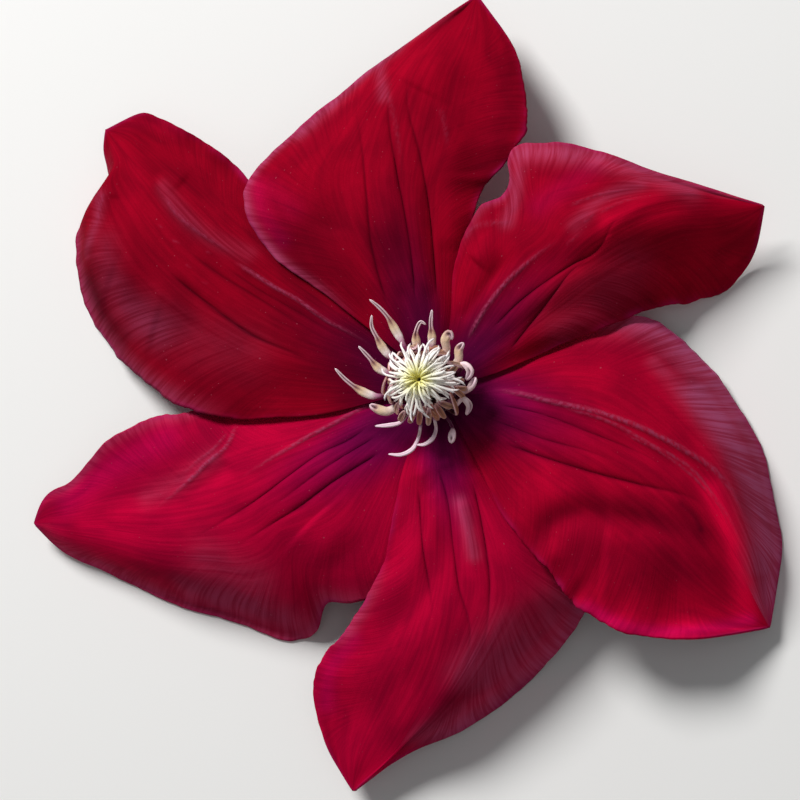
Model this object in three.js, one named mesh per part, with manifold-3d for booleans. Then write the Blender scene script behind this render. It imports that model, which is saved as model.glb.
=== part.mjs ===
// A large-flowered clematis bloom, picked and laid face up on a flat surface.
// Six broad sepals spread from a small receptacle, overlapping like a loose pinwheel.
// On the receptacle stand a ring of stamens and, inside it, a tuft of styles.
// The cut stalk bends under the sepals and lies along the surface.
//
// Units are millimetres and +Z is up. Inside the bloom's own group the flower's axis is
// the Z axis and the surface it lies on is z = 0. The exported group then shifts the
// bloom so that the origin is the middle of its outline on that surface.

import * as THREE from 'three';
import { mergeVertices } from 'three/addons/utils/BufferGeometryUtils.js';
import Module from 'manifold-3d';

const wasm = await Module();
wasm.setup();

// ---------------------------------------------------------------- driving dimensions

const AXIS = { x: 8.9, y: -2 };       // flower axis, measured from the middle of the outline
const GAP = 0.4;                      // between the receptacle, the stamens and the styles

const BLADE_THICKNESS = 0.7;
const ROWS = 18;                      // cells from the base of a sepal to its tip
const COLUMNS = [-1, -0.93, -0.75, -0.53, -0.34, -0.22, -0.08, 0, 0.08, 0.22, 0.34, 0.53, 0.75, 0.93, 1];
const BASE_RADIUS = 3.45;             // where the sepals start, just clear of the receptacle

// Lengths along a blade are shares of its length, and widths shares of its half width.
const RIB_OFFSET = 0.28;              // the two side ribs, at the base of the blade
const RIB_CLOSING = 0.3;              // share of that offset which they lose on the way to the tip
const GROOVE = { depth: 0.45, width: 0.06, full: 0.1, fading: 0.3, end: 0.8 };
const BASE_CURL = { power: 1.9, from: 0.15, to: 0.55 };

const RECEPTACLE = { radius: 3.1, shoulder: 2.6, neck: 10.2, bottom: 11.6, belly: 12.6, top: 16.9 };
const NECK_RISE = 0.2;                // of the receptacle's lowest face, out to the stalk's skin
const CORE = { radius: 1.6, bottom: RECEPTACLE.top + GAP, top: 22.4, crown: 25.2 };
const COLLAR = { inner: CORE.radius + GAP, outer: 4.3, bottom: RECEPTACLE.top + GAP, top: 18.6 };
const TURNED_SIDES = 20;

const STAMEN = { widths: [0.42, 0.42, 0.6, 0.62, 0.5, 0.3], sides: 5, sunk: 0.7 };
const STYLE = { widths: [0.34, 0.32, 0.26], sides: 4, sunk: 0.8 };

const STALK = { radius: 1.2, steps: 14, sides: 10 };

const SEED = 11;

// ---------------------------------------------------------------- the six sepals
// Each sepal is drawn over three curves from its base to its tip: the left margin, the
// midrib and the right margin, seen from the flower's centre. Points are x, y, z.
// base holds the three compass angles, in degrees, at which those curves leave the
// receptacle, and level the height there. curl is the power with which each half bends
// from the midrib's height to its margin's height: 1 is straight, more rolls the margin.

const SEPALS = {
  sepal_top: {
    base: [117, 94, 70],
    level: 15.4,
    curl: [2.4, 1.6],
    left: [
      [-8, 8.5, 16.2], [-19.5, 18, 16.5], [-29.5, 26.5, 16.1], [-33, 36, 15],
      [-25, 45, 14], [-15, 53.5, 13], [-5, 61.5, 10.5],
    ],
    midrib: [[-1, 12, 17.2], [-4, 24, 18.8], [-6, 38, 19.2], [-4, 52, 17], [1, 62, 13.5]],
    right: [
      [3.5, 12, 15.6], [5, 21.5, 15.6], [6.5, 28.5, 15.2], [8.5, 34.5, 14.6],
      [12, 38, 14.5], [15, 42.5, 14.5], [15.5, 49, 13.5], [13.5, 58.5, 11.5],
    ],
    tip: [6.5, 69.5, 9],
  },
  sepal_upper_right: {
    base: [64, 38, 13],
    level: 16.4,
    curl: [2, 1.5],
    left: [
      [3, 10, 17], [4, 20, 17.4], [6, 26.5, 17.2], [8.5, 31, 16.8], [12, 32.5, 17],
      [13.5, 35, 17], [13, 38, 16.5], [14, 40.6, 16], [19.5, 41, 16], [28.5, 39.3, 16],
      [36.5, 35.8, 15], [45, 33, 13],
    ],
    midrib: [[11.5, 9.5, 17.6], [20.5, 19, 18.8], [30.5, 26.5, 18.4], [39.5, 30.5, 16], [48, 31, 12]],
    right: [
      [11.5, 3, 15.8], [19.5, 6.5, 14.8], [27.5, 10, 12.6], [34.5, 13.5, 8.5],
      [43, 16.5, 2], [49, 19.5, -0.5], [52.5, 24.5, 2.5],
    ],
    tip: [54.5, 30.5, 8],
  },
  sepal_lower_right: {
    base: [7, -20, -47],
    level: 15.4,
    curl: [4, 2.5],
    left: [
      [10.5, 4.5, 13.7], [18, 9, 11.6], [26, 12.5, 8.8], [34, 13, 5.4], [43, 6, 3],
      [48, -1, 1.5], [52, -7.5, 0], [54.5, -17.5, -1.5], [55.5, -26, -1.5], [54.5, -32.5, 0],
    ],
    midrib: [[16.5, -4.5, 16.8], [28, -9, 17.2], [40.5, -17.5, 14], [48.5, -28.5, 9]],
    right: [
      [5, -7.5, 15.8], [7.5, -12.5, 16.2], [11.5, -20.5, 16.3], [15.5, -26, 16],
      [19.5, -31, 15], [24.5, -36.5, 13.5], [30, -40, 12.5], [36.5, -41, 11.5],
      [43, -41, 9.5], [49, -40, 6],
    ],
    tip: [53.5, -39, 3],
  },
  sepal_bottom: {
    base: [-53, -82, -112],
    level: 14.4,
    curl: [3, 2.2],
    left: [
      [6.5, -8.5, 14.1], [14, -18, 12.7], [21, -27.5, 11], [24, -35, 7.5],
      [19, -41.5, 3.5], [11.5, -48.5, 0], [2.5, -55, 1.6], [-5.5, -58.5, 4.2],
      [-12, -62.5, 4.8],
    ],
    midrib: [[2.5, -13, 16], [4, -25, 17], [3, -38, 16], [-2, -50.5, 12], [-9, -59.5, 6.8]],
    right: [
      [-5, -12, 14.8], [-7, -21, 15], [-9.5, -30, 14], [-11.5, -33.5, 13],
      [-15.5, -38.5, 11], [-20, -43, 9], [-22, -49.5, 7.5], [-21.5, -54.5, 6.5],
      [-18.5, -61.5, 5.5],
    ],
    tip: [-16, -65.5, 5],
  },
  sepal_lower_left: {
    base: [242, 211, 180],
    level: 13.2,
    curl: [2.6, 2.2],
    left: [
      [-4, -11.5, 13.4], [-7, -24, 13], [-10, -32.5, 10.4], [-15.5, -34, 8.5],
      [-20.5, -34, 6.5], [-23, -38.5, 2], [-27, -40, -2], [-37, -37, -3.6],
      [-48, -33.5, -2.6], [-61, -27.5, 0], [-69.5, -23.2, 2.2],
    ],
    midrib: [[-12.5, -7.5, 15.2], [-22, -13, 16], [-32.5, -18.5, 15], [-46.5, -21, 12], [-60, -20, 8]],
    right: [
      [-11.5, 0, 12.9], [-24, -1, 11.8], [-36.5, -0.5, 10.6], [-45.5, -1.5, 10.5],
      [-52, -3, 10.5], [-58.5, -6, 10], [-65.5, -12, 7.5], [-72, -16, 5],
    ],
    tip: [-73.5, -19, 4],
  },
  sepal_upper_left: {
    base: [174, 148, 123],
    level: 14.4,
    curl: [3.5, 1.6],
    left: [
      [-11, -1.5, 14.8], [-18, -3, 15], [-25, -3.5, 14.6], [-32, -3.5, 14],
      [-38, -2.5, 13.2], [-49.5, 2.5, 8.5], [-61, 12.5, 2], [-66.5, 22.5, -1],
      [-67.9, 29.6, -1], [-67, 34.3, -0.5], [-64, 37.3, 0.8], [-61.5, 39.8, 2],
      [-61, 43.5, 4], [-61.2, 47, 5.5],
    ],
    midrib: [
      [-9, 7, 15.2], [-17.5, 12, 15.8], [-28, 19, 16], [-39, 27.5, 15], [-49, 37.5, 12],
      [-56.5, 45.5, 9],
    ],
    right: [
      [-6, 10, 14.4], [-15, 21, 13.4], [-24, 29, 12.7], [-31, 36, 12], [-34.5, 40, 11.6],
      [-39.5, 44.5, 12], [-44, 47.5, 11.5], [-49, 50.5, 10.5], [-53.5, 52, 9],
    ],
    tip: [-60.5, 50, 7],
  },
};

// ---------------------------------------------------------------- curves and surfaces

// A smooth curve through points, each reached at its own parameter between 0 and 1.
class StationCurve extends THREE.Curve {
  constructor(points, stations) {
    super();
    this.points = points;
    this.stations = stations;
    this.slopes = points.map((point, i) => this.slopeAt(i));
  }

  secant(i) {
    const step = this.stations[i + 1] - this.stations[i];
    return this.points[i + 1].clone().sub(this.points[i]).divideScalar(step);
  }

  slopeAt(i) {
    const last = this.points.length - 1;
    if (i === 0) return this.secant(0);
    if (i === last) return this.secant(last - 1);
    const before = this.stations[i] - this.stations[i - 1];
    const after = this.stations[i + 1] - this.stations[i];
    const weighted = this.secant(i - 1).multiplyScalar(after);
    return weighted.addScaledVector(this.secant(i), before).divideScalar(before + after);
  }

  getPoint(t, target = new THREE.Vector3()) {
    const last = this.points.length - 1;
    let i = 0;
    while (i < last - 1 && t > this.stations[i + 1]) i += 1;
    const step = this.stations[i + 1] - this.stations[i];
    const s = (t - this.stations[i]) / step;
    const s2 = s * s;
    const s3 = s2 * s;
    return target
      .set(0, 0, 0)
      .addScaledVector(this.points[i], 2 * s3 - 3 * s2 + 1)
      .addScaledVector(this.slopes[i], (s3 - 2 * s2 + s) * step)
      .addScaledVector(this.points[i + 1], 3 * s2 - 2 * s3)
      .addScaledVector(this.slopes[i + 1], (s3 - s2) * step);
  }
}

const toVector = ([x, y, z]) => new THREE.Vector3(x, y, z);
const polar = (angle, radius, z) => [radius * Math.cos(angle), radius * Math.sin(angle), z];
const planDistance = (a, b) => Math.hypot(a.x - b.x, a.y - b.y);

// Each point's share of the way along the polyline, measured in plan.
function chordStations(points) {
  const along = [0];
  for (let i = 1; i < points.length; i += 1) {
    along.push(along[i - 1] + planDistance(points[i], points[i - 1]));
  }
  return along.map((d) => d / along[along.length - 1]);
}

// A margin's stations lie between its own chord shares and the nearest spots on the
// midrib, so that the rows of the blade cross the midrib nearly square.
function marginStations(points, midrib) {
  const FOOT_SHARE = 0.6;
  const SAMPLES = 200;
  const SMALLEST_STEP = 0.012;
  const chord = chordStations(points);
  const samples = midrib.getPoints(SAMPLES);
  const stations = [0];
  let foot = 0;
  for (let i = 1; i < points.length; i += 1) {
    let nearest = 0;
    samples.forEach((sample, k) => {
      if (planDistance(sample, points[i]) < planDistance(samples[nearest], points[i])) nearest = k;
    });
    foot = i === points.length - 1 ? 1 : Math.max(foot, nearest / SAMPLES);
    const station = (1 - FOOT_SHARE) * chord[i] + FOOT_SHARE * foot;
    stations.push(Math.max(station, stations[i - 1] + SMALLEST_STEP));
  }
  return stations.map((station) => station / stations[stations.length - 1]);
}

const smoothstep = (a, b, x) => THREE.MathUtils.smoothstep(x, a, b);
const bell = (x, width) => Math.exp(-((x / width) ** 2));

// Three grooves run up the middle of the blade, one along the midrib and one along each
// side rib.
function grooveRelief(u, v) {
  const strength = smoothstep(0, GROOVE.full, u) * (1 - smoothstep(GROOVE.fading, GROOVE.end, u));
  const side = RIB_OFFSET * (1 - RIB_CLOSING * u);
  const grooves = bell(v, GROOVE.width) + bell(v - side, GROOVE.width) + bell(v + side, GROOVE.width);
  return -GROOVE.depth * strength * grooves;
}

// The middle surface of a sepal: u runs 0 to 1 from base to tip, v from -1 (right margin)
// through 0 (midrib) to 1 (left margin).
function sepalSurface(spec) {
  const start = (angle) => polar(THREE.MathUtils.degToRad(angle), BASE_RADIUS, spec.level);
  const outline = (points, angle) => [start(angle), ...points, spec.tip].map(toVector);

  const midPoints = outline(spec.midrib, spec.base[1]);
  const midrib = new StationCurve(midPoints, chordStations(midPoints));
  const margins = [
    [spec.left, spec.base[0]],
    [spec.right, spec.base[2]],
  ].map(([points, angle]) => {
    const line = outline(points, angle);
    return new StationCurve(line, marginStations(line, midrib));
  });

  return (u, v) => {
    const side = v > 0 ? 0 : 1;
    const share = Math.abs(v);
    const mid = midrib.getPoint(u);
    const edge = margins[side].getPoint(u);
    const curlShare = THREE.MathUtils.clamp((u - BASE_CURL.from) / (BASE_CURL.to - BASE_CURL.from), 0, 1);
    const curl = THREE.MathUtils.lerp(BASE_CURL.power, spec.curl[side], curlShare);
    return new THREE.Vector3(
      THREE.MathUtils.lerp(mid.x, edge.x, share),
      THREE.MathUtils.lerp(mid.y, edge.y, share),
      THREE.MathUtils.lerp(mid.z, edge.z, share ** curl) + grooveRelief(u, v),
    );
  };
}

// ---------------------------------------------------------------- solids

function meshGeometry(vertices, triangles) {
  const geometry = new THREE.BufferGeometry();
  const positions = vertices.flatMap((p) => [p.x, p.y, p.z]);
  geometry.setAttribute('position', new THREE.Float32BufferAttribute(positions, 3));
  geometry.setIndex(triangles.flat());
  geometry.computeVertexNormals();
  return geometry;
}

// A blade of even thickness on a sepal's middle surface, pressed flat where it would
// reach below the surface it lies on. Its last row closes in one point at the tip.
function bladeGeometry(surface) {
  const STEP = 0.01;
  const half = BLADE_THICKNESS / 2;
  const across = COLUMNS.length;
  const upper = [];
  const lower = [];
  const addPoint = (u, v) => {
    const uNormal = Math.min(u, 1 - 3 * STEP);
    const vNormal = THREE.MathUtils.clamp(v, STEP - 1, 1 - STEP);
    const alongU = surface(uNormal + STEP, vNormal).sub(surface(uNormal - STEP, vNormal));
    const alongV = surface(uNormal, vNormal + STEP).sub(surface(uNormal, vNormal - STEP));
    const normal = alongU.cross(alongV).normalize();
    const middle = surface(u, v);
    const top = middle.clone().addScaledVector(normal, half);
    const bottom = middle.addScaledVector(normal, -half);
    bottom.z = Math.max(bottom.z, 0);
    top.z = Math.max(top.z, BLADE_THICKNESS);
    upper.push(top);
    lower.push(bottom);
  };
  for (let row = 0; row < ROWS; row += 1) {
    COLUMNS.forEach((v) => addPoint(row / ROWS, v));
  }
  addPoint(1, 0);

  const under = upper.length;
  const tip = ROWS * across;
  const triangles = [];
  const addFacet = (a, b, c) => {
    triangles.push([a, b, c]);
    triangles.push([under + a, under + c, under + b]);
  };
  const addWall = (a, b) => {
    triangles.push([a, under + a, under + b]);
    triangles.push([a, under + b, b]);
  };
  for (let row = 0; row < ROWS - 1; row += 1) {
    for (let column = 0; column < across - 1; column += 1) {
      const a = row * across + column;
      const b = a + across;
      addFacet(a, b, b + 1);
      addFacet(a, b + 1, a + 1);
    }
    addWall(row * across, (row + 1) * across);
    addWall((row + 2) * across - 1, (row + 1) * across - 1);
  }
  const lastRow = (ROWS - 1) * across;
  for (let column = 0; column < across - 1; column += 1) {
    addFacet(lastRow + column, tip, lastRow + column + 1);
    addWall(column + 1, column);
  }
  addWall(lastRow, tip);
  addWall(tip, lastRow + across - 1);
  return meshGeometry([...upper, ...lower], triangles);
}

// A strand with pointed ends along a curve. widths holds its radius at even steps.
function strandGeometry(points, { widths, sides }) {
  const curve = new THREE.CatmullRomCurve3(points.map(toVector));
  const rings = widths.length;
  const frames = curve.computeFrenetFrames(rings - 1);
  const vertices = [];
  for (let ring = 0; ring < rings; ring += 1) {
    const centre = curve.getPointAt(ring / (rings - 1));
    for (let side = 0; side < sides; side += 1) {
      const angle = (2 * Math.PI * side) / sides;
      const spoke = frames.normals[ring].clone().multiplyScalar(Math.cos(angle));
      spoke.addScaledVector(frames.binormals[ring], Math.sin(angle));
      vertices.push(centre.clone().addScaledVector(spoke, widths[ring]));
    }
  }
  const startCap = curve.getPointAt(0);
  const endCap = curve.getPointAt(1).addScaledVector(frames.tangents[rings - 1], widths[rings - 1]);
  vertices.push(startCap, endCap);
  const start = rings * sides;
  const triangles = [];
  for (let side = 0; side < sides; side += 1) {
    const next = (side + 1) % sides;
    for (let ring = 0; ring < rings - 1; ring += 1) {
      const a = ring * sides;
      const b = a + sides;
      triangles.push([a + side, a + next, b + next]);
      triangles.push([a + side, b + next, b + side]);
    }
    triangles.push([start, next, side]);
    triangles.push([start + 1, start - sides + side, start - sides + next]);
  }
  return meshGeometry(vertices, triangles);
}

function toManifold(source) {
  const bare = source.clone();
  bare.deleteAttribute('normal');
  bare.deleteAttribute('uv');
  const geometry = mergeVertices(bare, 1e-5);
  return new wasm.Manifold(
    new wasm.Mesh({
      numProp: 3,
      vertProperties: new Float32Array(geometry.attributes.position.array),
      triVerts: new Uint32Array(geometry.index.array),
    }),
  );
}

function fuse(geometries) {
  const solids = geometries.map(toManifold);
  const whole = solids.slice(1).reduce((sum, solid) => sum.add(solid), solids[0]);
  const mesh = whole.getMesh();
  const geometry = new THREE.BufferGeometry();
  geometry.setAttribute('position', new THREE.BufferAttribute(new Float32Array(mesh.vertProperties), 3));
  geometry.setIndex(new THREE.BufferAttribute(new Uint32Array(mesh.triVerts), 1));
  geometry.computeVertexNormals();
  return geometry;
}

// A turned solid about the flower's axis; profile points are radius, height.
function turned(profile) {
  const points = profile.map(([radius, z]) => new THREE.Vector2(radius, z));
  return new THREE.LatheGeometry(points, TURNED_SIDES).rotateX(Math.PI / 2);
}

// ---------------------------------------------------------------- the boss

// Mulberry32: a small repeatable generator of numbers between 0 and 1.
function seededRandom(seed) {
  let state = seed;
  return () => {
    state = (state + 0x6d2b79f5) | 0;
    let t = Math.imul(state ^ (state >>> 15), 1 | state);
    t = (t + Math.imul(t ^ (t >>> 7), 61 | t)) ^ t;
    return ((t ^ (t >>> 14)) >>> 0) / 4294967296;
  };
}
const random = seededRandom(SEED);
const spread = (amount) => (random() * 2 - 1) * amount;

// The stamens that have bent outward, each by its outer half: a bend and a tip, x, y, z.
const SPREADING = [
  [[-5.6, 9.6, 21.2], [-9.4, 14.6, 22.6]],
  [[-7.4, 7.2, 21.4], [-9.2, 11.6, 22.4]],
  [[-7.9, 3.4, 21.6], [-11, 6.6, 22.8]],
  [[-11, -0.4, 21], [-15, 3.2, 22.6]],
  [[-7.6, -3.3, 20.6], [-10, -2.8, 21]],
  [[-6.4, -6, 20.6], [-9.4, -6.4, 20.8]],
  [[-3, -9.8, 20.4], [-6.6, -11, 20.8]],
  [[1, -8.4, 20.6], [-1.8, -9.6, 20.8]],
  [[3.8, -7.6, 20.8], [4, -9.6, 20.6]],
  [[7.2, -3.6, 21.4], [6.8, -5.4, 22]],
  [[7.2, -1, 21.4], [8.6, 0.8, 22]],
  [[7.3, 1.8, 21.6], [6.5, 0.6, 22.8]],
  [[5.8, 5, 21.4], [6, 7.2, 22]],
  [[3.6, 7, 21.4], [4, 8.6, 22]],
  [[0.6, 8.9, 21.4], [1.2, 12.6, 22.6]],
  [[-2.2, 8.6, 21.8], [-0.4, 10, 22.4]],
];

const SHOULDER = { inset: 0.9, reach: 0.4, rise: 1.3 };  // from the collar's rim and top

function spreadingStamen([bend, tip]) {
  const angle = Math.atan2(bend[1], bend[0]);
  const root = polar(angle, COLLAR.outer - SHOULDER.inset, COLLAR.top - STAMEN.sunk);
  const shoulder = polar(angle, COLLAR.outer + SHOULDER.reach, COLLAR.top + SHOULDER.rise);
  return strandGeometry([root, shoulder, bend, tip], STAMEN);
}

// Rings of upright stamens: how many, the radius at root, belly and head, the height of
// the head, and the turn of the ring as a share of one stamen's place.
const UPRIGHT_RINGS = [
  { count: 12, root: 2.75, belly: 4.7, head: 4.2, height: 25.8, turn: 0 },
  { count: 18, root: 3.6, belly: 6.7, head: 5.7, height: 26.1, turn: 0.5 },
];
const WAIST = { share: 0.45, rise: 1.4 };   // share of the way to the belly, height over the collar
const BELLY_DROP = 3.6;                     // from the head
const UPRIGHT_PLAY = { angle: 0.06, lean: 0.08, reach: 0.25, height: 0.4 };

function uprightStamens(ring) {
  return Array.from({ length: ring.count }, (unused, i) => {
    const angle = (2 * Math.PI * (i + ring.turn)) / ring.count + spread(UPRIGHT_PLAY.angle);
    const reach = spread(UPRIGHT_PLAY.reach);
    const height = ring.height + spread(UPRIGHT_PLAY.height);
    const root = polar(angle, ring.root, COLLAR.top - STAMEN.sunk);
    const waist = polar(angle, ring.root + WAIST.share * (ring.belly - ring.root), COLLAR.top + WAIST.rise);
    const belly = polar(angle, ring.belly + reach, height - BELLY_DROP);
    const head = polar(angle + spread(UPRIGHT_PLAY.lean), ring.head + reach, height);
    return strandGeometry([root, waist, belly, head], STAMEN);
  });
}

const COLLAR_BEVEL = { reach: 0.6, drop: 0.4 };

function stamens() {
  const collar = turned([
    [COLLAR.inner, COLLAR.bottom],
    [COLLAR.outer, COLLAR.bottom],
    [COLLAR.outer, COLLAR.top - COLLAR_BEVEL.drop],
    [COLLAR.outer - COLLAR_BEVEL.reach, COLLAR.top],
    [COLLAR.inner, COLLAR.top],
    [COLLAR.inner, COLLAR.bottom],
  ]);
  return fuse([collar, ...UPRIGHT_RINGS.flatMap(uprightStamens), ...SPREADING.map(spreadingStamen)]);
}

// Rings of styles: how many, the radius at root, bend and tip, and the height of the tip.
const STYLE_RINGS = [
  { count: 5, root: 0.4, bend: 0.9, tip: 1.4, height: 29.4 },
  { count: 10, root: 0.7, bend: 1.7, tip: 3, height: 29.4 },
  { count: 14, root: 0.9, bend: 2.3, tip: 4.4, height: 29 },
  { count: 18, root: 1, bend: 2.8, tip: 5.8, height: 28.4 },
];
const STYLE_STAGGER = 0.37;                 // turn of each ring past the one inside it
const STYLE_BEND_DROP = 2.2;                // from the tip
const STYLE_PLAY = { angle: 0.12, lean: 0.1, reach: 0.4, height: 0.4 };
const CROWN = { share: 0.6, drop: 0.6 };    // of the core's radius, and from its highest point

function style(ring, angle) {
  const root = polar(angle, ring.root, CORE.top - STYLE.sunk);
  const bend = polar(angle, ring.bend, ring.height - STYLE_BEND_DROP);
  const lean = spread(STYLE_PLAY.lean);
  const reach = ring.tip + spread(STYLE_PLAY.reach);
  const tip = polar(angle + lean, reach, ring.height + spread(STYLE_PLAY.height));
  return strandGeometry([root, bend, tip], STYLE);
}

function styles() {
  const core = turned([
    [0, CORE.bottom],
    [CORE.radius, CORE.bottom],
    [CORE.radius, CORE.top],
    [CORE.radius * CROWN.share, CORE.crown - CROWN.drop],
    [0, CORE.crown],
  ]);
  const strands = STYLE_RINGS.flatMap((ring, layer) => {
    const turn = STYLE_STAGGER * layer;
    return Array.from({ length: ring.count }, (unused, i) =>
      style(ring, (2 * Math.PI * (i + turn)) / ring.count + spread(STYLE_PLAY.angle)),
    );
  });
  return fuse([core, ...strands]);
}

// ---------------------------------------------------------------- the stalk

// From inside the receptacle down to the surface and along it to the cut end.
const STALK_ROUTE = [
  [0, 0, 12.6], [-0.6, 0.2, 9], [-3.6, 1.2, 4.6], [-9.5, 3.4, 2.2],
  [-19, 7.4, 1.4], [-29, 12.6, 1.25], [-38, 18.5, 1.25],
];

function stalk() {
  const receptacle = turned([
    [0, RECEPTACLE.neck],
    [STALK.radius, RECEPTACLE.neck + NECK_RISE],
    [RECEPTACLE.shoulder, RECEPTACLE.bottom],
    [RECEPTACLE.radius, RECEPTACLE.belly],
    [RECEPTACLE.radius, RECEPTACLE.top],
    [0, RECEPTACLE.top],
  ]);
  const section = new THREE.Shape();
  section.absarc(0, 0, STALK.radius, 0, 2 * Math.PI);
  const tube = new THREE.ExtrudeGeometry(section, {
    extrudePath: new THREE.CatmullRomCurve3(STALK_ROUTE.map(toVector)),
    steps: STALK.steps,
    curveSegments: STALK.sides / 2,
  });
  return fuse([receptacle, tube]);
}

// ---------------------------------------------------------------- the bloom

const sepalMaterial = new THREE.MeshStandardMaterial({ color: 0x8c0020, roughness: 0.75, metalness: 0 });
const stamenMaterial = new THREE.MeshStandardMaterial({ color: 0xc9a9a0, roughness: 0.6, metalness: 0 });
const styleMaterial = new THREE.MeshStandardMaterial({ color: 0xe6e0c4, roughness: 0.6, metalness: 0 });
const stalkMaterial = new THREE.MeshStandardMaterial({ color: 0x6d5a4a, roughness: 0.7, metalness: 0 });

const bloom = new THREE.Group();
function addPiece(name, geometry, material) {
  const mesh = new THREE.Mesh(geometry, material);
  mesh.name = name;
  bloom.add(mesh);
}

Object.entries(SEPALS).forEach(([name, spec]) => {
  addPiece(name, bladeGeometry(sepalSurface(spec)), sepalMaterial.clone());
});
addPiece('stamens', stamens(), stamenMaterial);
addPiece('styles', styles(), styleMaterial);
addPiece('stalk', stalk(), stalkMaterial);
bloom.position.set(AXIS.x, AXIS.y, 0);

const clematis = new THREE.Group();
clematis.add(bloom);
clematis.updateMatrixWorld(true);

export default clematis;
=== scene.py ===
"""A picked clematis bloom: fine sepals, stamens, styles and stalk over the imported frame."""
import math

import bpy
import numpy as np
from bpy.props import FloatProperty, FloatVectorProperty, IntProperty, PointerProperty
from mathutils import Matrix, Vector


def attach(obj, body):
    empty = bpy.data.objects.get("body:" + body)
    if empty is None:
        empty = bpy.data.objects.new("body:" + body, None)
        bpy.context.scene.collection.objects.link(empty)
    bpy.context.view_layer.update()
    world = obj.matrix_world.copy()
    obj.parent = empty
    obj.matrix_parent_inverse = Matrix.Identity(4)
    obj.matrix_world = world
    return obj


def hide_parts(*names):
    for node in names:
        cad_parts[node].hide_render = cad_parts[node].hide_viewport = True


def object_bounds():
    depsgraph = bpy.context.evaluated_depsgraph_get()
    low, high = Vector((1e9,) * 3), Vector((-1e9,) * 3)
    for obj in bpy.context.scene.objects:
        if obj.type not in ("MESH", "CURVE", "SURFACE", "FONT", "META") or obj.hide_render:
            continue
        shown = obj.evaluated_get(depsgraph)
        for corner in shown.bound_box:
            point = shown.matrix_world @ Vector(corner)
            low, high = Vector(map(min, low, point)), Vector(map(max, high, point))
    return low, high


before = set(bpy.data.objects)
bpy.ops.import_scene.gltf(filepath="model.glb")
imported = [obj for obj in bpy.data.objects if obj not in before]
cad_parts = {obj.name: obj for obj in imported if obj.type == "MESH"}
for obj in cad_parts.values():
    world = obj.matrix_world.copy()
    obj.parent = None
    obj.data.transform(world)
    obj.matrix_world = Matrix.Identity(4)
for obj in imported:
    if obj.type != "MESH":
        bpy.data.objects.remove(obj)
FRAME_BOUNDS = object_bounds()

bl_info = {
    "name": "Clematis Bloom",
    "version": (1, 0, 0),
    "blender": (4, 5, 0),
    "location": "View3D > Sidebar > Clematis",
    "description": "Builds a picked clematis bloom from its sepals, stamens, styles and stalk",
    "category": "Add Mesh",
}

MM = 0.001

# ---------------------- driving dimensions (mm)

AXIS = (8.9, -2.0)          # the flower's axis from the middle of its outline
BASE_RADIUS = 3.45          # where the sepals leave the receptacle
BLADE_CELLS = 170           # along a sepal and across it
MIDRIB_SPACING = 0.62       # of the cells across, at the midrib; they open out to the margins
FLOOR_EASE = 0.7            # how softly a drooping margin comes to lie on the surface
MERGE_DISTANCE = 0.002      # between points that are one

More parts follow.
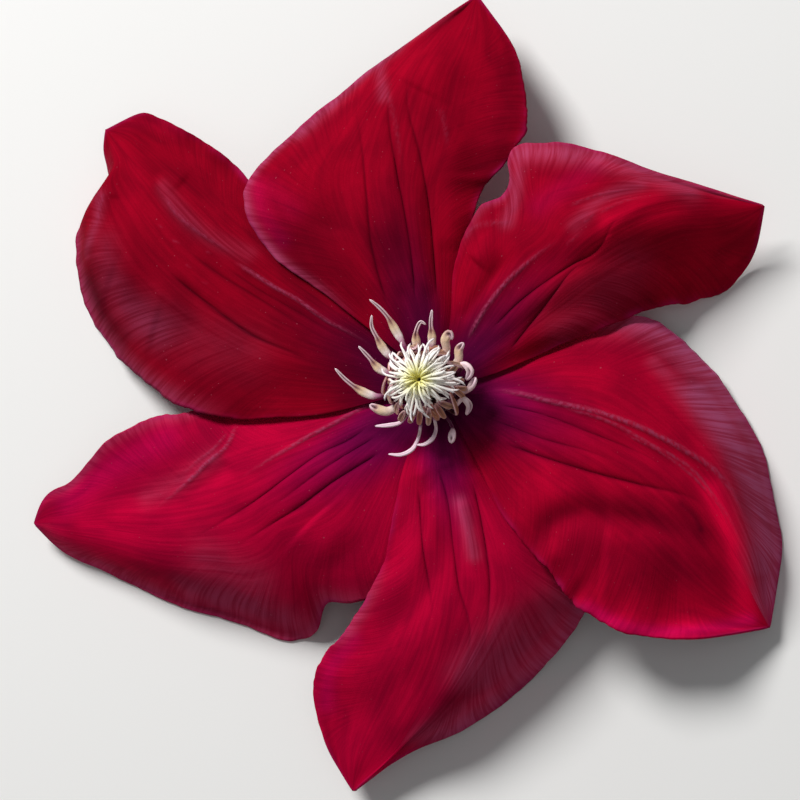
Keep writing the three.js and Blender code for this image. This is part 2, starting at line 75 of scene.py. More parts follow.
# Each sepal is drawn over three curves from its base to its tip: left margin, midrib and
# right margin, seen from the flower's centre, as x, y, z from the flower's axis.
# base holds the compass angles at which they leave the receptacle, level the height there,
# and curl the power with which each half bends from the midrib to its margin. rosy is how
# far its red leans to magenta, and the overall painted shade how dark the whole sepal is painted.
# throat is how far the dark centre reaches, between the ribs and along the midrib. The painted
# sheen holds its margins' mauve bands, a painted velvet sheen: side (1 left, -1 right), start and
# end along it, width and strength.
SEPALS = {
    "sepal_top": {
        "base": (117, 94, 70), "level": 15.4, "curl": (2.4, 1.6), "rosy": 0.25, "deep": 0.42, "seed": 3,
        "throat": (12, 36), "nap": ((1, 0.25, 0.92, 1.3, 0.45),), "tip": (6.5, 69.5, 9),
        "left": (
            (-8, 8.5, 16.2), (-19.5, 18, 16.5), (-29.5, 26.5, 16.1), (-33, 36, 15), (-25, 45, 14),
            (-15, 53.5, 13), (-5, 61.5, 10.5),
        ),
        "midrib": ((-1, 12, 17.2), (-4, 24, 18.8), (-6, 38, 19.2), (-4, 52, 17), (1, 62, 13.5)),
        "right": (
            (3.5, 12, 15.6), (5, 21.5, 15.6), (6.5, 28.5, 15.2), (8.5, 34.5, 14.6), (12, 38, 14.5),
            (15, 42.5, 14.5), (15.5, 49, 13.5), (13.5, 58.5, 11.5),
        ),
    },
    "sepal_upper_right": {
        "base": (64, 38, 13), "level": 16.4, "curl": (2, 1.5), "rosy": 0.3, "deep": 0.3, "seed": 5,
        "throat": (12, 34), "nap": ((1, 0.35, 0.97, 1.2, 0.35),), "tip": (54.5, 30.5, 8),
        "left": (
            (3, 10, 17), (4, 20, 17.4), (6, 26.5, 17.2), (8.5, 31, 16.8), (12, 32.5, 17), (13.5, 35, 17),
            (13, 38, 16.5), (14, 40.6, 16), (19.5, 41, 16), (28.5, 39.3, 16), (36.5, 35.8, 15), (45, 33, 13),
        ),
        "midrib": ((11.5, 9.5, 17.6), (20.5, 19, 18.8), (30.5, 26.5, 18.4), (39.5, 30.5, 16), (48, 31, 12)),
        "right": (
            (11.5, 3, 15.8), (19.5, 6.5, 14.8), (27.5, 10, 12.6), (34.5, 13.5, 8.5), (43, 16.5, 2),
            (49, 19.5, -0.5), (52.5, 24.5, 2.5),
        ),
    },
    "sepal_lower_right": {
        "base": (7, -20, -47), "level": 15.4, "curl": (4, 2.5), "rosy": 0.55, "deep": 0.1, "seed": 7,
        "throat": (12, 30), "nap": ((1, 0.3, 0.97, 3.6, 0.75),), "tip": (53.5, -39, 3),
        "left": (
            (10.5, 4.5, 13.7), (18, 9, 11.6), (26, 12.5, 8.8), (34, 13, 5.4), (43, 6, 3), (48, -1, 1.5),
            (52, -7.5, 0), (54.5, -17.5, -1.5), (55.5, -26, -1.5), (54.5, -32.5, 0),
        ),
        "midrib": ((16.5, -4.5, 16.8), (28, -9, 17.2), (40.5, -17.5, 14), (48.5, -28.5, 9)),
        "right": (
            (5, -7.5, 15.8), (7.5, -12.5, 16.2), (11.5, -20.5, 16.3), (15.5, -26, 16), (19.5, -31, 15),
            (24.5, -36.5, 13.5), (30, -40, 12.5), (36.5, -41, 11.5), (43, -41, 9.5), (49, -40, 6),
        ),
    },
    "sepal_bottom": {
        "base": (-53, -82, -112), "level": 14.4, "curl": (3, 2.2), "rosy": 0.9, "deep": 0.1, "seed": 9,
        "throat": (9, 26), "nap": ((1, 0.35, 0.8, 3, 0.45), (-1, 0.45, 0.65, 1.6, 0.35)),
        "tip": (-16, -65.5, 5),
        "left": (
            (6.5, -8.5, 14.1), (14, -18, 12.7), (21, -27.5, 11), (24, -35, 7.5), (19, -41.5, 3.5),
            (11.5, -48.5, 0), (2.5, -55, 1.6), (-5.5, -58.5, 4.2), (-12, -62.5, 4.8),
        ),
        "midrib": ((2.5, -13, 16), (4, -25, 17), (3, -38, 16), (-2, -50.5, 12), (-9, -59.5, 6.8)),
        "right": (
            (-5, -12, 14.8), (-7, -21, 15), (-9.5, -30, 14), (-11.5, -33.5, 13), (-15.5, -38.5, 11),
            (-20, -43, 9), (-22, -49.5, 7.5), (-21.5, -54.5, 6.5), (-18.5, -61.5, 5.5),
        ),
    },
    "sepal_lower_left": {
        "base": (242, 211, 180), "level": 13.2, "curl": (2.6, 2.2), "rosy": 1, "deep": 0, "seed": 11,
        "throat": (12, 34), "nap": ((1, 0.35, 0.95, 2, 0.35), (-1, 0.5, 0.95, 1.4, 0.25)),
        "tip": (-73.5, -19, 4),
        "left": (
            (-4, -11.5, 13.4), (-7, -24, 13), (-10, -32.5, 10.4), (-15.5, -34, 8.5), (-20.5, -34, 6.5),
            (-23, -38.5, 2), (-27, -40, -2), (-37, -37, -3.6), (-48, -33.5, -2.6), (-61, -27.5, 0),
            (-69.5, -23.2, 2.2),
        ),
        "midrib": ((-12.5, -7.5, 15.2), (-22, -13, 16), (-32.5, -18.5, 15), (-46.5, -21, 12), (-60, -20, 8)),
        "right": (
            (-11.5, 0, 12.9), (-24, -1, 11.8), (-36.5, -0.5, 10.6), (-45.5, -1.5, 10.5), (-52, -3, 10.5),
            (-58.5, -6, 10), (-65.5, -12, 7.5), (-72, -16, 5),
        ),
    },
    "sepal_upper_left": {
        "base": (174, 148, 123), "level": 14.4, "curl": (3.5, 1.6), "rosy": 0.2, "deep": 0.75, "seed": 13,
        "throat": (16, 32), "nap": ((1, 0.4, 0.92, 2.2, 0.3),), "tip": (-60.5, 50, 7),
        "left": (
            (-11, -1.5, 14.8), (-18, -3, 15), (-25, -3.5, 14.6), (-32, -3.5, 14), (-38, -2.5, 13.2),
            (-49.5, 2.5, 8.5), (-61, 12.5, 2), (-66.5, 22.5, -1), (-67.9, 29.6, -1), (-67, 34.3, -0.5),
            (-64, 37.3, 0.8), (-61.5, 39.8, 2), (-61, 43.5, 4), (-61.2, 47, 5.5),
        ),
        "midrib": (
            (-9, 7, 15.2), (-17.5, 12, 15.8), (-28, 19, 16), (-39, 27.5, 15), (-49, 37.5, 12),
            (-56.5, 45.5, 9),
        ),
        "right": (
            (-6, 10, 14.4), (-15, 21, 13.4), (-24, 29, 12.7), (-31, 36, 12), (-34.5, 40, 11.6),
            (-39.5, 44.5, 12), (-44, 47.5, 11.5), (-49, 50.5, 10.5), (-53.5, 52, 9),
        ),
    },
}

# Strokes on each sepal, as x, y points with a height or strength and the width over which it
# dies away. Grooves, ridges and swells raise or lower the blade. Shade strokes are painted shade
# on its red, and painted light where they are negative. Mauve lays a painted velvet sheen on it,
# and flush makes it pinker and lighter, partly the margin's own pink and partly painted light.
STROKES = {
    "sepal_top": (
        ("groove", -0.5, 0.4, (-7, 13.5), (-8.5, 18.5), (-10, 25.5), (-10.5, 31.5), (-11.5, 41),
         (-13.5, 51.5)),
        ("groove", -0.5, 0.4, (-2.5, 14), (-3, 22), (-4, 29), (-5.5, 37), (-7, 46), (-7, 57.5)),
        ("groove", -0.45, 0.4, (1, 14.5), (0.5, 22.5), (0, 29.5), (-1.5, 39), (-4, 49.5), (-3.5, 58)),
        ("swell", 0.3, 1.2, (-5, 15.5), (-6.5, 23.5), (-7.5, 32), (-9, 40.5)),
        ("swell", 0.3, 1.2, (-0.5, 15), (-1.5, 23.5), (-2, 31), (-4, 40.5)),
        ("swell", 0.7, 2.6, (4.5, 23), (3.5, 31), (3.5, 40), (1, 47)),
        ("swell", -0.8, 4, (8, 35.5), (7.5, 44), (8.5, 50)),
        ("swell", 0.6, 5, (-2.5, 51), (2.5, 59.5)),
        ("swell", -0.5, 3, (-17, 26), (-14.5, 36), (-13.5, 44.5)),
        ("ridge", 0.1, 0.6, (-8, 53), (-6.5, 48), (-5, 40.5), (-4.5, 36)),
        ("ridge", 0.09, 0.6, (1.5, 48), (2.5, 44), (3, 39.5)),
        ("shade", 0.62, 4.8, (-25, 25.5), (-19, 20), (-13, 15.5)),
        ("shade", 0.36, 4.5, (-20, 29), (-14.5, 27), (-7.5, 25)),
        ("shade", 0.55, 3.6, (12.5, 57), (12, 45.5), (9.5, 38)),
        ("shade", 0.32, 4.2, (-6, 23.5), (-3, 33.5), (0.5, 45)),
        ("shade", 0.25, 3, (0.5, 64.5), (5.5, 66)),
        ("flush", 0.65, 1.8, (-31, 36.5), (-29.5, 31.5), (-26, 26.5)),
        ("flush", 0.3, 2.5, (-28, 35.5), (-24, 31.5)),
        ("mauve", 0.34, 1.5, (-7, 60), (-13, 55.5), (-18, 50), (-23.5, 45.5)),
        ("shade", 0.35, 2, (-7, 60), (-13, 55.5), (-18, 50), (-23.5, 45.5), (-30, 39)),
        ("mauve", 0.19, 1, (-9.5, 57), (-8, 50)),
    ),
    "sepal_upper_right": (
        ("ridge", 0.5, 0.42, (6, 8), (9.5, 13.5), (13, 17.5), (18, 21.5), (22.5, 24.5)),
        ("swell", -0.6, 1.3, (5, 11), (8.5, 16), (12, 20), (16, 23.5)),
        ("swell", 0.9, 2.2, (7.5, 21), (10, 23.5), (12, 25)),
        ("groove", -0.5, 0.42, (10, 9.5), (15, 14), (20, 17.5), (24, 20), (27.5, 22), (31.5, 27), (35, 29)),
        ("groove", -0.5, 0.45, (13, 6), (17.5, 11.5), (21, 15.5), (24, 19), (28.5, 21)),
        ("swell", 0.7, 1.6, (28.5, 25), (31.5, 27), (35, 29.5), (39, 31), (44.5, 31.5), (49, 31.5)),
        ("ridge", 0.24, 0.45, (5.5, 25), (7.5, 27), (11, 27.5), (15, 27.5)),
        ("ridge", 0.16, 0.45, (23.5, 29.5), (28.5, 31.5), (35, 32.5)),
        ("ridge", 0.14, 0.45, (28.5, 28), (32, 30), (37.5, 31)),
        ("ridge", 0.14, 0.4, (26, 26.5), (28, 28.5)),
        ("ridge", 0.12, 0.4, (23, 23), (25.5, 25)),
        ("swell", -0.9, 4.5, (26.5, 16), (34.5, 21), (44, 24.5)),
        ("shade", -0.65, 2, (30, 25.5), (36.5, 28), (44.5, 29.5), (52.5, 30)),
        ("shade", 0.2, 3.5, (17, 28.5), (23.5, 26.5), (22, 22)),
        ("shade", 0.55, 2.8, (20.5, 8), (27.5, 11.5), (34.5, 15)),
        ("mauve", 0.09, 3.5, (21.5, 10.5), (29.5, 17.5), (33, 20.5)),
        ("mauve", 0.36, 2, (15, 40), (24, 39), (35, 36), (43, 32.5)),
        ("mauve", 0.17, 1.2, (24.5, 26), (29.5, 31), (35, 33)),
        ("mauve", 0.24, 1.2, (15, 38.5), (14.5, 33), (13, 27.5)),
        ("flush", 0.4, 2.2, (27, 36), (22, 32.5), (18.5, 30)),
    ),
    "sepal_lower_right": (
        ("ridge", 0.75, 0.45, (9.5, 0), (14.5, -1), (19.5, -2.5), (27, -4.5), (35, -7.5), (41.5, -11),
         (46, -14), (49.5, -19), (52, -24.5), (53, -30)),
        ("ridge", 0.35, 0.3, (21.5, -3.5), (29, -6), (36, -10), (42.5, -14), (46, -18.5), (49, -23.5),
         (50, -29)),
        ("ridge", 0.25, 0.28, (31.5, -8), (38, -11.5), (43.5, -16), (47, -20.5), (48.5, -25.5)),
        ("groove", -0.7, 0.6, (11.5, -9), (19.5, -12), (27, -14.5), (34.5, -16.5), (42, -18.5), (47, -21.5)),
        ("groove", -0.35, 0.4, (10.5, -2.5), (18, -4.5), (26.5, -8), (34.5, -11.5), (40.5, -15)),
        ("groove", -0.3, 0.4, (10, -5), (18, -8.5), (26, -11), (33.5, -14)),
        ("swell", -1.3, 2.6, (19.5, -28.5), (19.5, -23.5), (23.5, -21), (30.5, -22), (38, -23.5),
         (44, -24.5)),
        ("swell", 1.3, 8, (27, -31.5), (40, -33)),
        ("shade", 0.55, 0.55, (40.5, -19.5), (42.5, -21.5), (43.5, -23.5)),
        ("shade", 0.5, 1.9, (17, -27), (19, -22), (23.5, -20), (34, -21), (43.5, -24.5)),
        ("shade", 0.3, 4.5, (25.5, -28.5), (33.5, -30), (41.5, -28.5)),
        ("shade", -0.45, 2.4, (27, -37), (36.5, -39), (47.5, -37.5)),
        ("shade", -0.85, 1.9, (45.5, -17.5), (48.5, -26), (50, -36.5)),
        ("shade", -0.22, 1.8, (32.5, -11.5), (38, -13.5), (45.5, -17)),
        ("shade", -0.22, 2.6, (18.5, -15.5), (25.5, -19)),
        ("flush", 0.62, 1.2, (25, -36), (30.5, -39), (41.5, -40), (50.5, -38)),
        ("mauve", 0.7, 2.4, (43.5, -0.5), (47, -5.5), (50.5, -12.5), (53, -22), (53.5, -29.5)),
        ("mauve", 0.16, 1.4, (36.5, 4), (42, -2.5), (46.5, -8.5)),
        ("shade", 0.35, 2.6, (34, 8.5), (39, 4.5), (43, 0)),
        ("shade", 0.28, 4.5, (18.5, 6.5), (29.5, 6)),
        ("shade", -0.5, 2.2, (9.5, -1), (16.5, -2.5)),
    ),
    "sepal_bottom": (
        ("groove", -0.5, 0.4, (-2.5, -16), (-2, -21.5), (-1.5, -26.5), (-0.5, -33), (0.5, -39.5)),
        ("groove", -0.55, 0.4, (0.5, -12), (2.5, -18), (3.5, -26), (4.5, -33), (6, -38.5), (5, -47.5)),
        ("groove", -0.45, 0.4, (6.5, -15), (8, -21.5), (9, -27), (9.5, -32), (9, -38), (7.5, -44.5)),
        ("swell", 0.35, 1.2, (-0.5, -16.5), (0.5, -25), (2, -33)),
        ("swell", 0.45, 1.2, (5, -18), (6, -26.5), (7, -33)),
        ("shade", -0.22, 1.1, (4.5, -19), (5.5, -25), (6.5, -30.5)),
        ("shade", -0.8, 2.6, (-0.5, -10), (6, -12.5)),
        ("shade", 0.3, 4, (6, -41), (3, -49), (-2, -55.5)),
        ("shade", 0.4, 2.2, (0.5, -50.5), (-5, -55.5), (-7.5, -57)),
        ("mauve", 0.25, 4.5, (22, -35), (15, -42), (8, -47)),
        ("mauve", 0.26, 1.1, (4.5, -18.5), (6, -23), (7, -27.5)),
        ("mauve", 0.1, 2.5, (11.5, -38.5), (7.5, -43.5), (4, -46.5)),
        ("flush", 0.35, 1.6, (-14.5, -40.5), (-19, -45.5), (-20, -51)),
        ("ridge", 0.18, 0.3, (-13, -36), (-11.5, -34), (-10, -31.5)),
    ),
    "sepal_lower_left": (
        ("ridge", 0.5, 0.4, (-9, -1), (-13, -2.5), (-16.5, -4.5), (-21.5, -7), (-25, -9), (-29.5, -11.5),
         (-33.5, -14)),
        ("groove", -0.45, 0.42, (-10.5, -5), (-15, -8), (-18.5, -9.5), (-24.5, -13.5), (-30.5, -17.5),
         (-37, -21), (-44.5, -24.5)),
        ("groove", -0.65, 0.55, (-8.5, -9.5), (-13.5, -12.5), (-17.5, -15), (-22.5, -18.5), (-27, -21),
         (-35, -25.5)),
        ("groove", -0.3, 0.36, (-9.5, -7), (-14.5, -10), (-18.5, -12.5), (-23.5, -16), (-29.5, -20)),
        ("ridge", 0.55, 0.38, (-34.5, -4), (-36, -8), (-39, -10.5), (-42, -13), (-46, -16), (-49.5, -18.5)),
        ("ridge", 0.28, 0.3, (-36, -5.5), (-38.5, -8.5), (-41.5, -10.5), (-44.5, -13)),
        ("swell", -0.5, 1.4, (-35, -10.5), (-37.5, -13), (-41, -15), (-44.5, -18)),
        ("swell", 0.8, 2.4, (-68.5, -19), (-58, -18.5), (-48.5, -18.5), (-40.5, -16)),
        ("swell", 0.8, 4.5, (-21, -21), (-15.5, -27.5)),
        ("shade", 0.34, 5, (-59, -10.5), (-48.5, -10), (-40, -6.5)),
        ("shade", -0.25, 1.8, (-63, -20), (-55, -20), (-45.5, -20)),
        ("shade", 0.4, 2.4, (-72, -19), (-67, -19.5)),
        ("shade", 0.35, 3, (-51.5, -28), (-39.5, -33), (-28, -37.5)),
        ("mauve", 0.23, 2.6, (-45, -31.5), (-36, -34), (-25.5, -37.5)),
        ("mauve", 0.15, 3.5, (-40, -27), (-31, -31)),
        ("mauve", 0.11, 1.8, (-50.5, -16), (-44.5, -13.5), (-38.5, -10)),
        ("flush", 0.3, 3, (-67, -15.5), (-58, -10.5), (-47.5, -6)),
    ),
    "sepal_upper_left": (
        ("swell", 1.1, 1.5, (-49.5, 40.5), (-46.5, 35), (-42, 31), (-37, 27.5), (-32.5, 24.5)),
        ("ridge", 0.22, 0.45, (-47.5, 36), (-45, 32.5), (-41.5, 29.5), (-38, 27), (-33, 24)),
        ("swell", -0.6, 2.2, (-45.5, 39), (-41, 35), (-35.5, 32)),
        ("ridge", 0.45, 0.36, (-34.5, 23.5), (-31.5, 21.5), (-27, 18.5), (-23.5, 16.5), (-18, 12.5),
         (-13.5, 10), (-9, 7)),
        ("groove", -0.75, 0.6, (-46, 22), (-40.5, 17.5), (-36, 14), (-31, 10.5), (-24.5, 7.5), (-18, 4)),
        ("groove", -0.3, 0.42, (-42.5, 25.5), (-38, 22), (-29.5, 16.5), (-21, 11), (-14, 6.5)),
        ("groove", -0.3, 0.4, (-36, 22.5), (-29.5, 18), (-22, 13.5), (-15, 9)),
        ("ridge", 0.2, 0.45, (-59.5, 38), (-60.5, 34.5), (-61, 30.5)),
        ("swell", -0.5, 1.2, (-57.5, 37.5), (-58.5, 34), (-59, 30)),
        ("swell", -0.7, 5, (-60, 22), (-52.5, 18), (-46, 14.5)),
        ("swell", -0.6, 5, (-50, 13.5), (-39.5, 9.5)),
        ("ridge", 0.13, 0.26, (-48.5, 31), (-47.5, 30)),
        ("ridge", 0.15, 0.26, (-46, 28), (-44, 27)),
        ("ridge", 0.12, 0.26, (-43, 23.5), (-42, 22.5)),
        ("ridge", 0.13, 0.26, (-39.5, 25.5), (-38.5, 25)),
        ("ridge", 0.12, 0.26, (-40, 20), (-39, 20)),
        ("shade", 0.62, 4.2, (-59.5, 22), (-52, 17.5), (-44.5, 13.5)),
        ("shade", 0.6, 2, (-64, 23.5), (-61, 17.5), (-56.5, 12.5)),
        ("shade", 0.25, 4, (-41, 3.5), (-30, 0.5)),
        ("shade", 0.35, 3, (-23, 4), (-16, 1.5)),
        ("shade", 0.3, 3, (-30, 28), (-21, 18)),
        ("shade", -0.25, 2.2, (-57.5, 46), (-54, 40.5), (-54.5, 33.5)),
        ("mauve", 0.11, 3, (-59.5, 28), (-56.5, 19), (-48.5, 12.5)),
        ("mauve", 0.06, 4.5, (-50.5, 14.5), (-40.5, 10), (-31.5, 8)),
        ("mauve", 0.1, 1.4, (-48, 37.5), (-45.5, 34), (-39, 28), (-32, 24.5)),
        ("mauve", 0.17, 1.2, (-60.5, 37.5), (-61, 33), (-64, 28.5)),
        ("flush", 0.12, 1.5, (-59, 50.5), (-51.5, 50), (-45.5, 47.5)),
    ),
}

# ---------------------- shared helpers


def deselect_all():
    if bpy.context.object and bpy.context.object.mode != "OBJECT":
        bpy.ops.object.mode_set(mode="OBJECT")
    bpy.ops.object.select_all(action="DESELECT")


def rename(obj, name):
    obj.name = name
    obj.data.name = name
    return obj


def vertex_array(mesh):
    coordinates = np.empty(len(mesh.vertices) * 3)
    mesh.vertices.foreach_get("co", coordinates)
    return coordinates.reshape(-1, 3)


def place_vertices(mesh, points):
    """Move a mesh's vertices to points in mm from the flower's axis."""
    points[:, :2] += AXIS
    mesh.vertices.foreach_set("co", (points * MM).ravel())
    mesh.update()


def set_uv(mesh, name, u, v):
    """A UV map that follows the surface, from one u and v for each vertex."""
    index = np.empty(len(mesh.loops), dtype=int)
    mesh.loops.foreach_get("vertex_index", index)
    mesh.uv_layers.new(name=name).data.foreach_set("uv", np.stack([u[index], v[index]], axis=1).ravel())


def set_attributes(mesh, **layers):
    """A value for each vertex, or one for them all, under each name."""
    for name, values in layers.items():
        layer = mesh.attributes.get(name) or mesh.attributes.new(name, "FLOAT", "POINT")
        values = np.broadcast_to(np.asarray(values, dtype=float), (len(mesh.vertices),))
        layer.data.foreach_set("value", np.ascontiguousarray(values))


def smoothstep(low, high, x):
    t = np.clip((x - low) / (high - low), 0, 1)
    return t * t * (3 - 2 * t)


def plateau(x, rise, fall):
    """1 in the middle, easing in over the span rise and out over the span fall."""
    return smoothstep(*rise, x) * (1 - smoothstep(*fall, x))


def fading(distance, width):
    """1 at no distance, dying away softly over width."""
    return np.exp(-((distance / width) ** 2))


def polar(angle, radius, z):
    return (radius * math.cos(angle), radius * math.sin(angle), z)


def column_values(rows, shares):
    """The columns of a table after its first, each read off at the shares in the first."""
    table = np.array(rows, dtype=float)
    return [np.interp(shares, table[:, 0], column) for column in table[:, 1:].T]


def edit_whole(obj, operator, **options):
    """Run an edit-mode operator on all of a mesh."""
    deselect_all()
    obj.select_set(True)
    bpy.context.view_layer.objects.active = obj
    bpy.ops.object.mode_set(mode="EDIT")
    bpy.ops.mesh.select_all(action="SELECT")
    operator(**options)
    bpy.ops.object.mode_set(mode="OBJECT")


def merge_points(obj):
    edit_whole(obj, bpy.ops.mesh.remove_doubles, threshold=MERGE_DISTANCE * MM)


def finish_piece(obj, node, material=None):
    """Give a piece smooth shading, its material if it has none yet, and its place in the frame."""
    if material:
        obj.data.materials.append(material)
    bpy.ops.object.shade_smooth()
    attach(obj, "root")
    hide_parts(node)


# ---------------------- curves through points


def chord_stations(points, axes=2):
    steps = np.linalg.norm(np.diff(points[:, :axes], axis=0), axis=1)
    along = np.concatenate([[0.0], np.cumsum(steps)])
    return along / along[-1]


def curve_slopes(points, stations):
    secants = np.diff(points, axis=0) / np.diff(stations)[:, None]
    before = np.diff(stations)[:-1, None]
    after = np.diff(stations)[1:, None]
    inner = (secants[:-1] * after + secants[1:] * before) / (before + after)
    return np.vstack([secants[:1], inner, secants[-1:]])


def curve_points(points, stations, t):
    """The smooth curve through points, each reached at its own station, sampled at t."""
    slopes = curve_slopes(points, stations)
    i = np.clip(np.searchsorted(stations, t, "left") - 1, 0, len(points) - 2)
    step = (stations[i + 1] - stations[i])[..., None]
    s = (t[..., None] - stations[i][..., None]) / step
    return (
        (2 * s**3 - 3 * s**2 + 1) * points[i]
        + (s**3 - 2 * s**2 + s) * step * slopes[i]
        + (3 * s**2 - 2 * s**3) * points[i + 1]
        + (s**3 - s**2) * step * slopes[i + 1]
    )


def sampled_line(points, pieces, axes=2):
    """Points at even steps along the smooth curve through points."""
    points = np.array(points, dtype=float)
    return curve_points(points, chord_stations(points, axes), np.linspace(0, 1, pieces + 1))


def margin_stations(points, midrib):
    """Margin stations between the chord shares and the nearest spots on the midrib."""
    foot_share = 0.6
    samples = 200
    smallest_step = 0.012
    chord = chord_stations(points)
    line = sampled_line(midrib, samples)
    stations = [0.0]
    foot = 0.0
    for i in range(1, len(points)):
        nearest = int(np.argmin(np.linalg.norm(line[:, :2] - points[i, :2], axis=1)))
        foot = 1.0 if i == len(points) - 1 else max(foot, nearest / samples)
        station = (1 - foot_share) * chord[i] + foot_share * foot
        stations.append(max(station, stations[-1] + smallest_step))
    return np.array(stations) / stations[-1]


def sepal_curves(spec, t):
    """Left margin, midrib and right margin of a sepal at the shares t of its length."""
    starts = [polar(math.radians(angle), BASE_RADIUS, spec["level"]) for angle in spec["base"]]
    left, midrib, right = (
        np.array([start, *spec[key], spec["tip"]], dtype=float)
        for key, start in zip(("left", "midrib", "right"), starts)
    )
    return (
        curve_points(left, margin_stations(left, midrib), t),
        curve_points(midrib, chord_stations(midrib), t),
        curve_points(right, margin_stations(right, midrib), t),
    )


def path_distance(places, path, pieces=28):
    """Distance in plan from each place to a smooth path, and the share along it."""
    line = sampled_line(path, pieces)
    start = line[:-1]
    step = np.diff(line, axis=0)
    offset = places[:, None, :] - start[None]
    share = np.clip((offset * step).sum(2) / (step**2).sum(1), 0, 1)
    gap = np.linalg.norm(offset - share[..., None] * step, axis=2)
    nearest = np.argmin(gap, axis=1)
    rows = np.arange(len(places))
    return gap[rows, nearest], (nearest + share[rows, nearest]) / pieces


# ---------------------- the sepals' surface

# Nicks of a margin: how many along it, and their size as a share of the half width.
NICKS = ((3, 0.010), (7, 0.005), (13, 0.003), (23, 0.002), (37, 0.0018))
# Soft waves of a blade: how many are drawn, the range of their turns along it, and height.
SLOW_SWELLS = (6, (1.0, 3.5), 0.09)
FRILLS = (4, (4, 11), 0.13)
FRILL_SHIFT = 1.3           # between the frills of the two margins, as an angle
# Shares of the length over which the nicks, the waves and a stroke rise and die away.
NICKS_SPAN = ((0.12, 0.3), (0.9, 1.0))
WAVES_SPAN = ((0.05, 0.3), (0.93, 1.0))
STROKE_SPAN = ((0.0, 0.12), (0.5, 1.0))
NICKS_POWER = 8             # how closely the nicks keep to the margin
RELIEF_POWER = 10           # how late the strokes' relief dies away at the margin
SHEEN_BAND_EASE = (0.1, 0.05)      # either side of a mauve band's start and of its end
BASE_CURL = {"power": 1.9, "start": 0.15, "run": 0.4}   # near the base, and where it gives way

# Strokes that only colour the blade: painted shade and light, painted sheen, a flush partly painted light.
TINT_STROKES = ("shade", "mauve", "flush")
# The mark of a groove is painted shade, partly its dark vein; that of a ridge a painted highlight.
MARK_SHARPNESS = 1.5        # how much narrower than its relief the mark of a groove or ridge is
MARK_FULL = 0.5             # the height at which that mark is at its full strength
MARK_STRENGTH = 0.75

# The UV maps, in mm: the length and half width that a blade is drawn to, the shift of its
# right half, and the slope and bend of the striae off the midrib.
UV_LENGTH = 70.0
UV_HALF_WIDTH = 18.0
UV_RIGHT_SHIFT = 60.0
STRIAE_SLOPE = 1.9
STRIAE_BEND = 0.045
THROAT_START = 5            # from the axis
THROAT_BAR = 0.45           # share of the half width over which the bar on the midrib fades
RIM_WIDTH = 0.7
# Shares over which the outer parts of a blade and its rim set in.
OUTER_ACROSS = (0.3, 0.7)
OUTER_ALONG = (0.15, 0.4)
RIM_ALONG = (0.1, 0.4)


def ragged_margin(spec, u, v):
    """A share by which the margin steps in and out in small uneven nicks."""
    rng = np.random.default_rng(spec["seed"] + 100)
    ragged = np.zeros_like(u)
    for turns, size in NICKS:
        shift = rng.uniform(0, 2 * math.pi, 2)
        ragged += size * np.sin(2 * math.pi * turns * u + np.where(v > 0, *shift))
    return ragged * plateau(u, *NICKS_SPAN)


def soft_waves(spec, u, v):
    """Slow swells over the blade and a light frill that grows towards the margins."""
    rng = np.random.default_rng(spec["seed"])
    height = np.zeros_like(u)
    count, turns, size = SLOW_SWELLS
    for _ in range(count):
        turns_u, turns_v = rng.uniform(*turns, 2)
        phase = rng.uniform(0, 2 * math.pi)
        height += size * np.sin(2 * math.pi * (turns_u * u + 0.5 * turns_v * v) + phase)
    frill = np.zeros_like(u)
    count, turns, size = FRILLS
    for _ in range(count):
        turns_u = rng.uniform(*turns)
        phase = rng.uniform(0, 2 * math.pi)
        frill += size * np.sin(2 * math.pi * turns_u * u + phase + FRILL_SHIFT * np.sign(v))
    return plateau(u, *WAVES_SPAN) * (height + frill * np.abs(v) ** 4)


def stroke_relief(node, places):
    """Heights of the grooves, ridges and swells, and soft masks of the strokes of each kind."""
    height = np.zeros(len(places))
    masks = {kind: np.zeros(len(places)) for kind in ("groove", "ridge", *TINT_STROKES)}
    for kind, size, width, *path in STROKES[node]:
        distance, along = path_distance(places, path)
        distance = distance / width
        ends = plateau(along, *STROKE_SPAN)
        if kind in TINT_STROKES:
            masks[kind] += size * np.exp(-(distance**2))
        elif kind == "swell":
            height += size * ends * np.exp(-(distance**2))
        else:
            height += size * ends * np.exp(-distance)
            mark = ends * np.exp(-((distance * MARK_SHARPNESS) ** 2)) * min(abs(size) / MARK_FULL, 1)
            masks[kind] = np.maximum(masks[kind], mark)
    return height, masks


def sepal_surface(node, spec, u, v):
    """A sepal's middle surface in mm from the flower's axis, its half width and stroke masks."""
    left, midrib, right = sepal_curves(spec, u)
    edge = np.where((v > 0)[:, None], left, right)
    half_width = np.linalg.norm(edge[:, :2] - midrib[:, :2], axis=1)
    share = np.abs(v)
    power = BASE_CURL["power"]
    curl = power + (np.where(v > 0, *spec["curl"]) - power) * np.clip(
        (u - BASE_CURL["start"]) / BASE_CURL["run"], 0, 1
    )
    reach = share * (1 + ragged_margin(spec, u, v) * share**NICKS_POWER)
    points = midrib + (edge - midrib) * reach[:, None]
    points[:, 2] = midrib[:, 2] + (edge[:, 2] - midrib[:, 2]) * share**curl
    relief, masks = stroke_relief(node, points[:, :2])
    points[:, 2] += relief * (1 - share**RELIEF_POWER) + soft_waves(spec, u, v)
    return points, half_width, masks


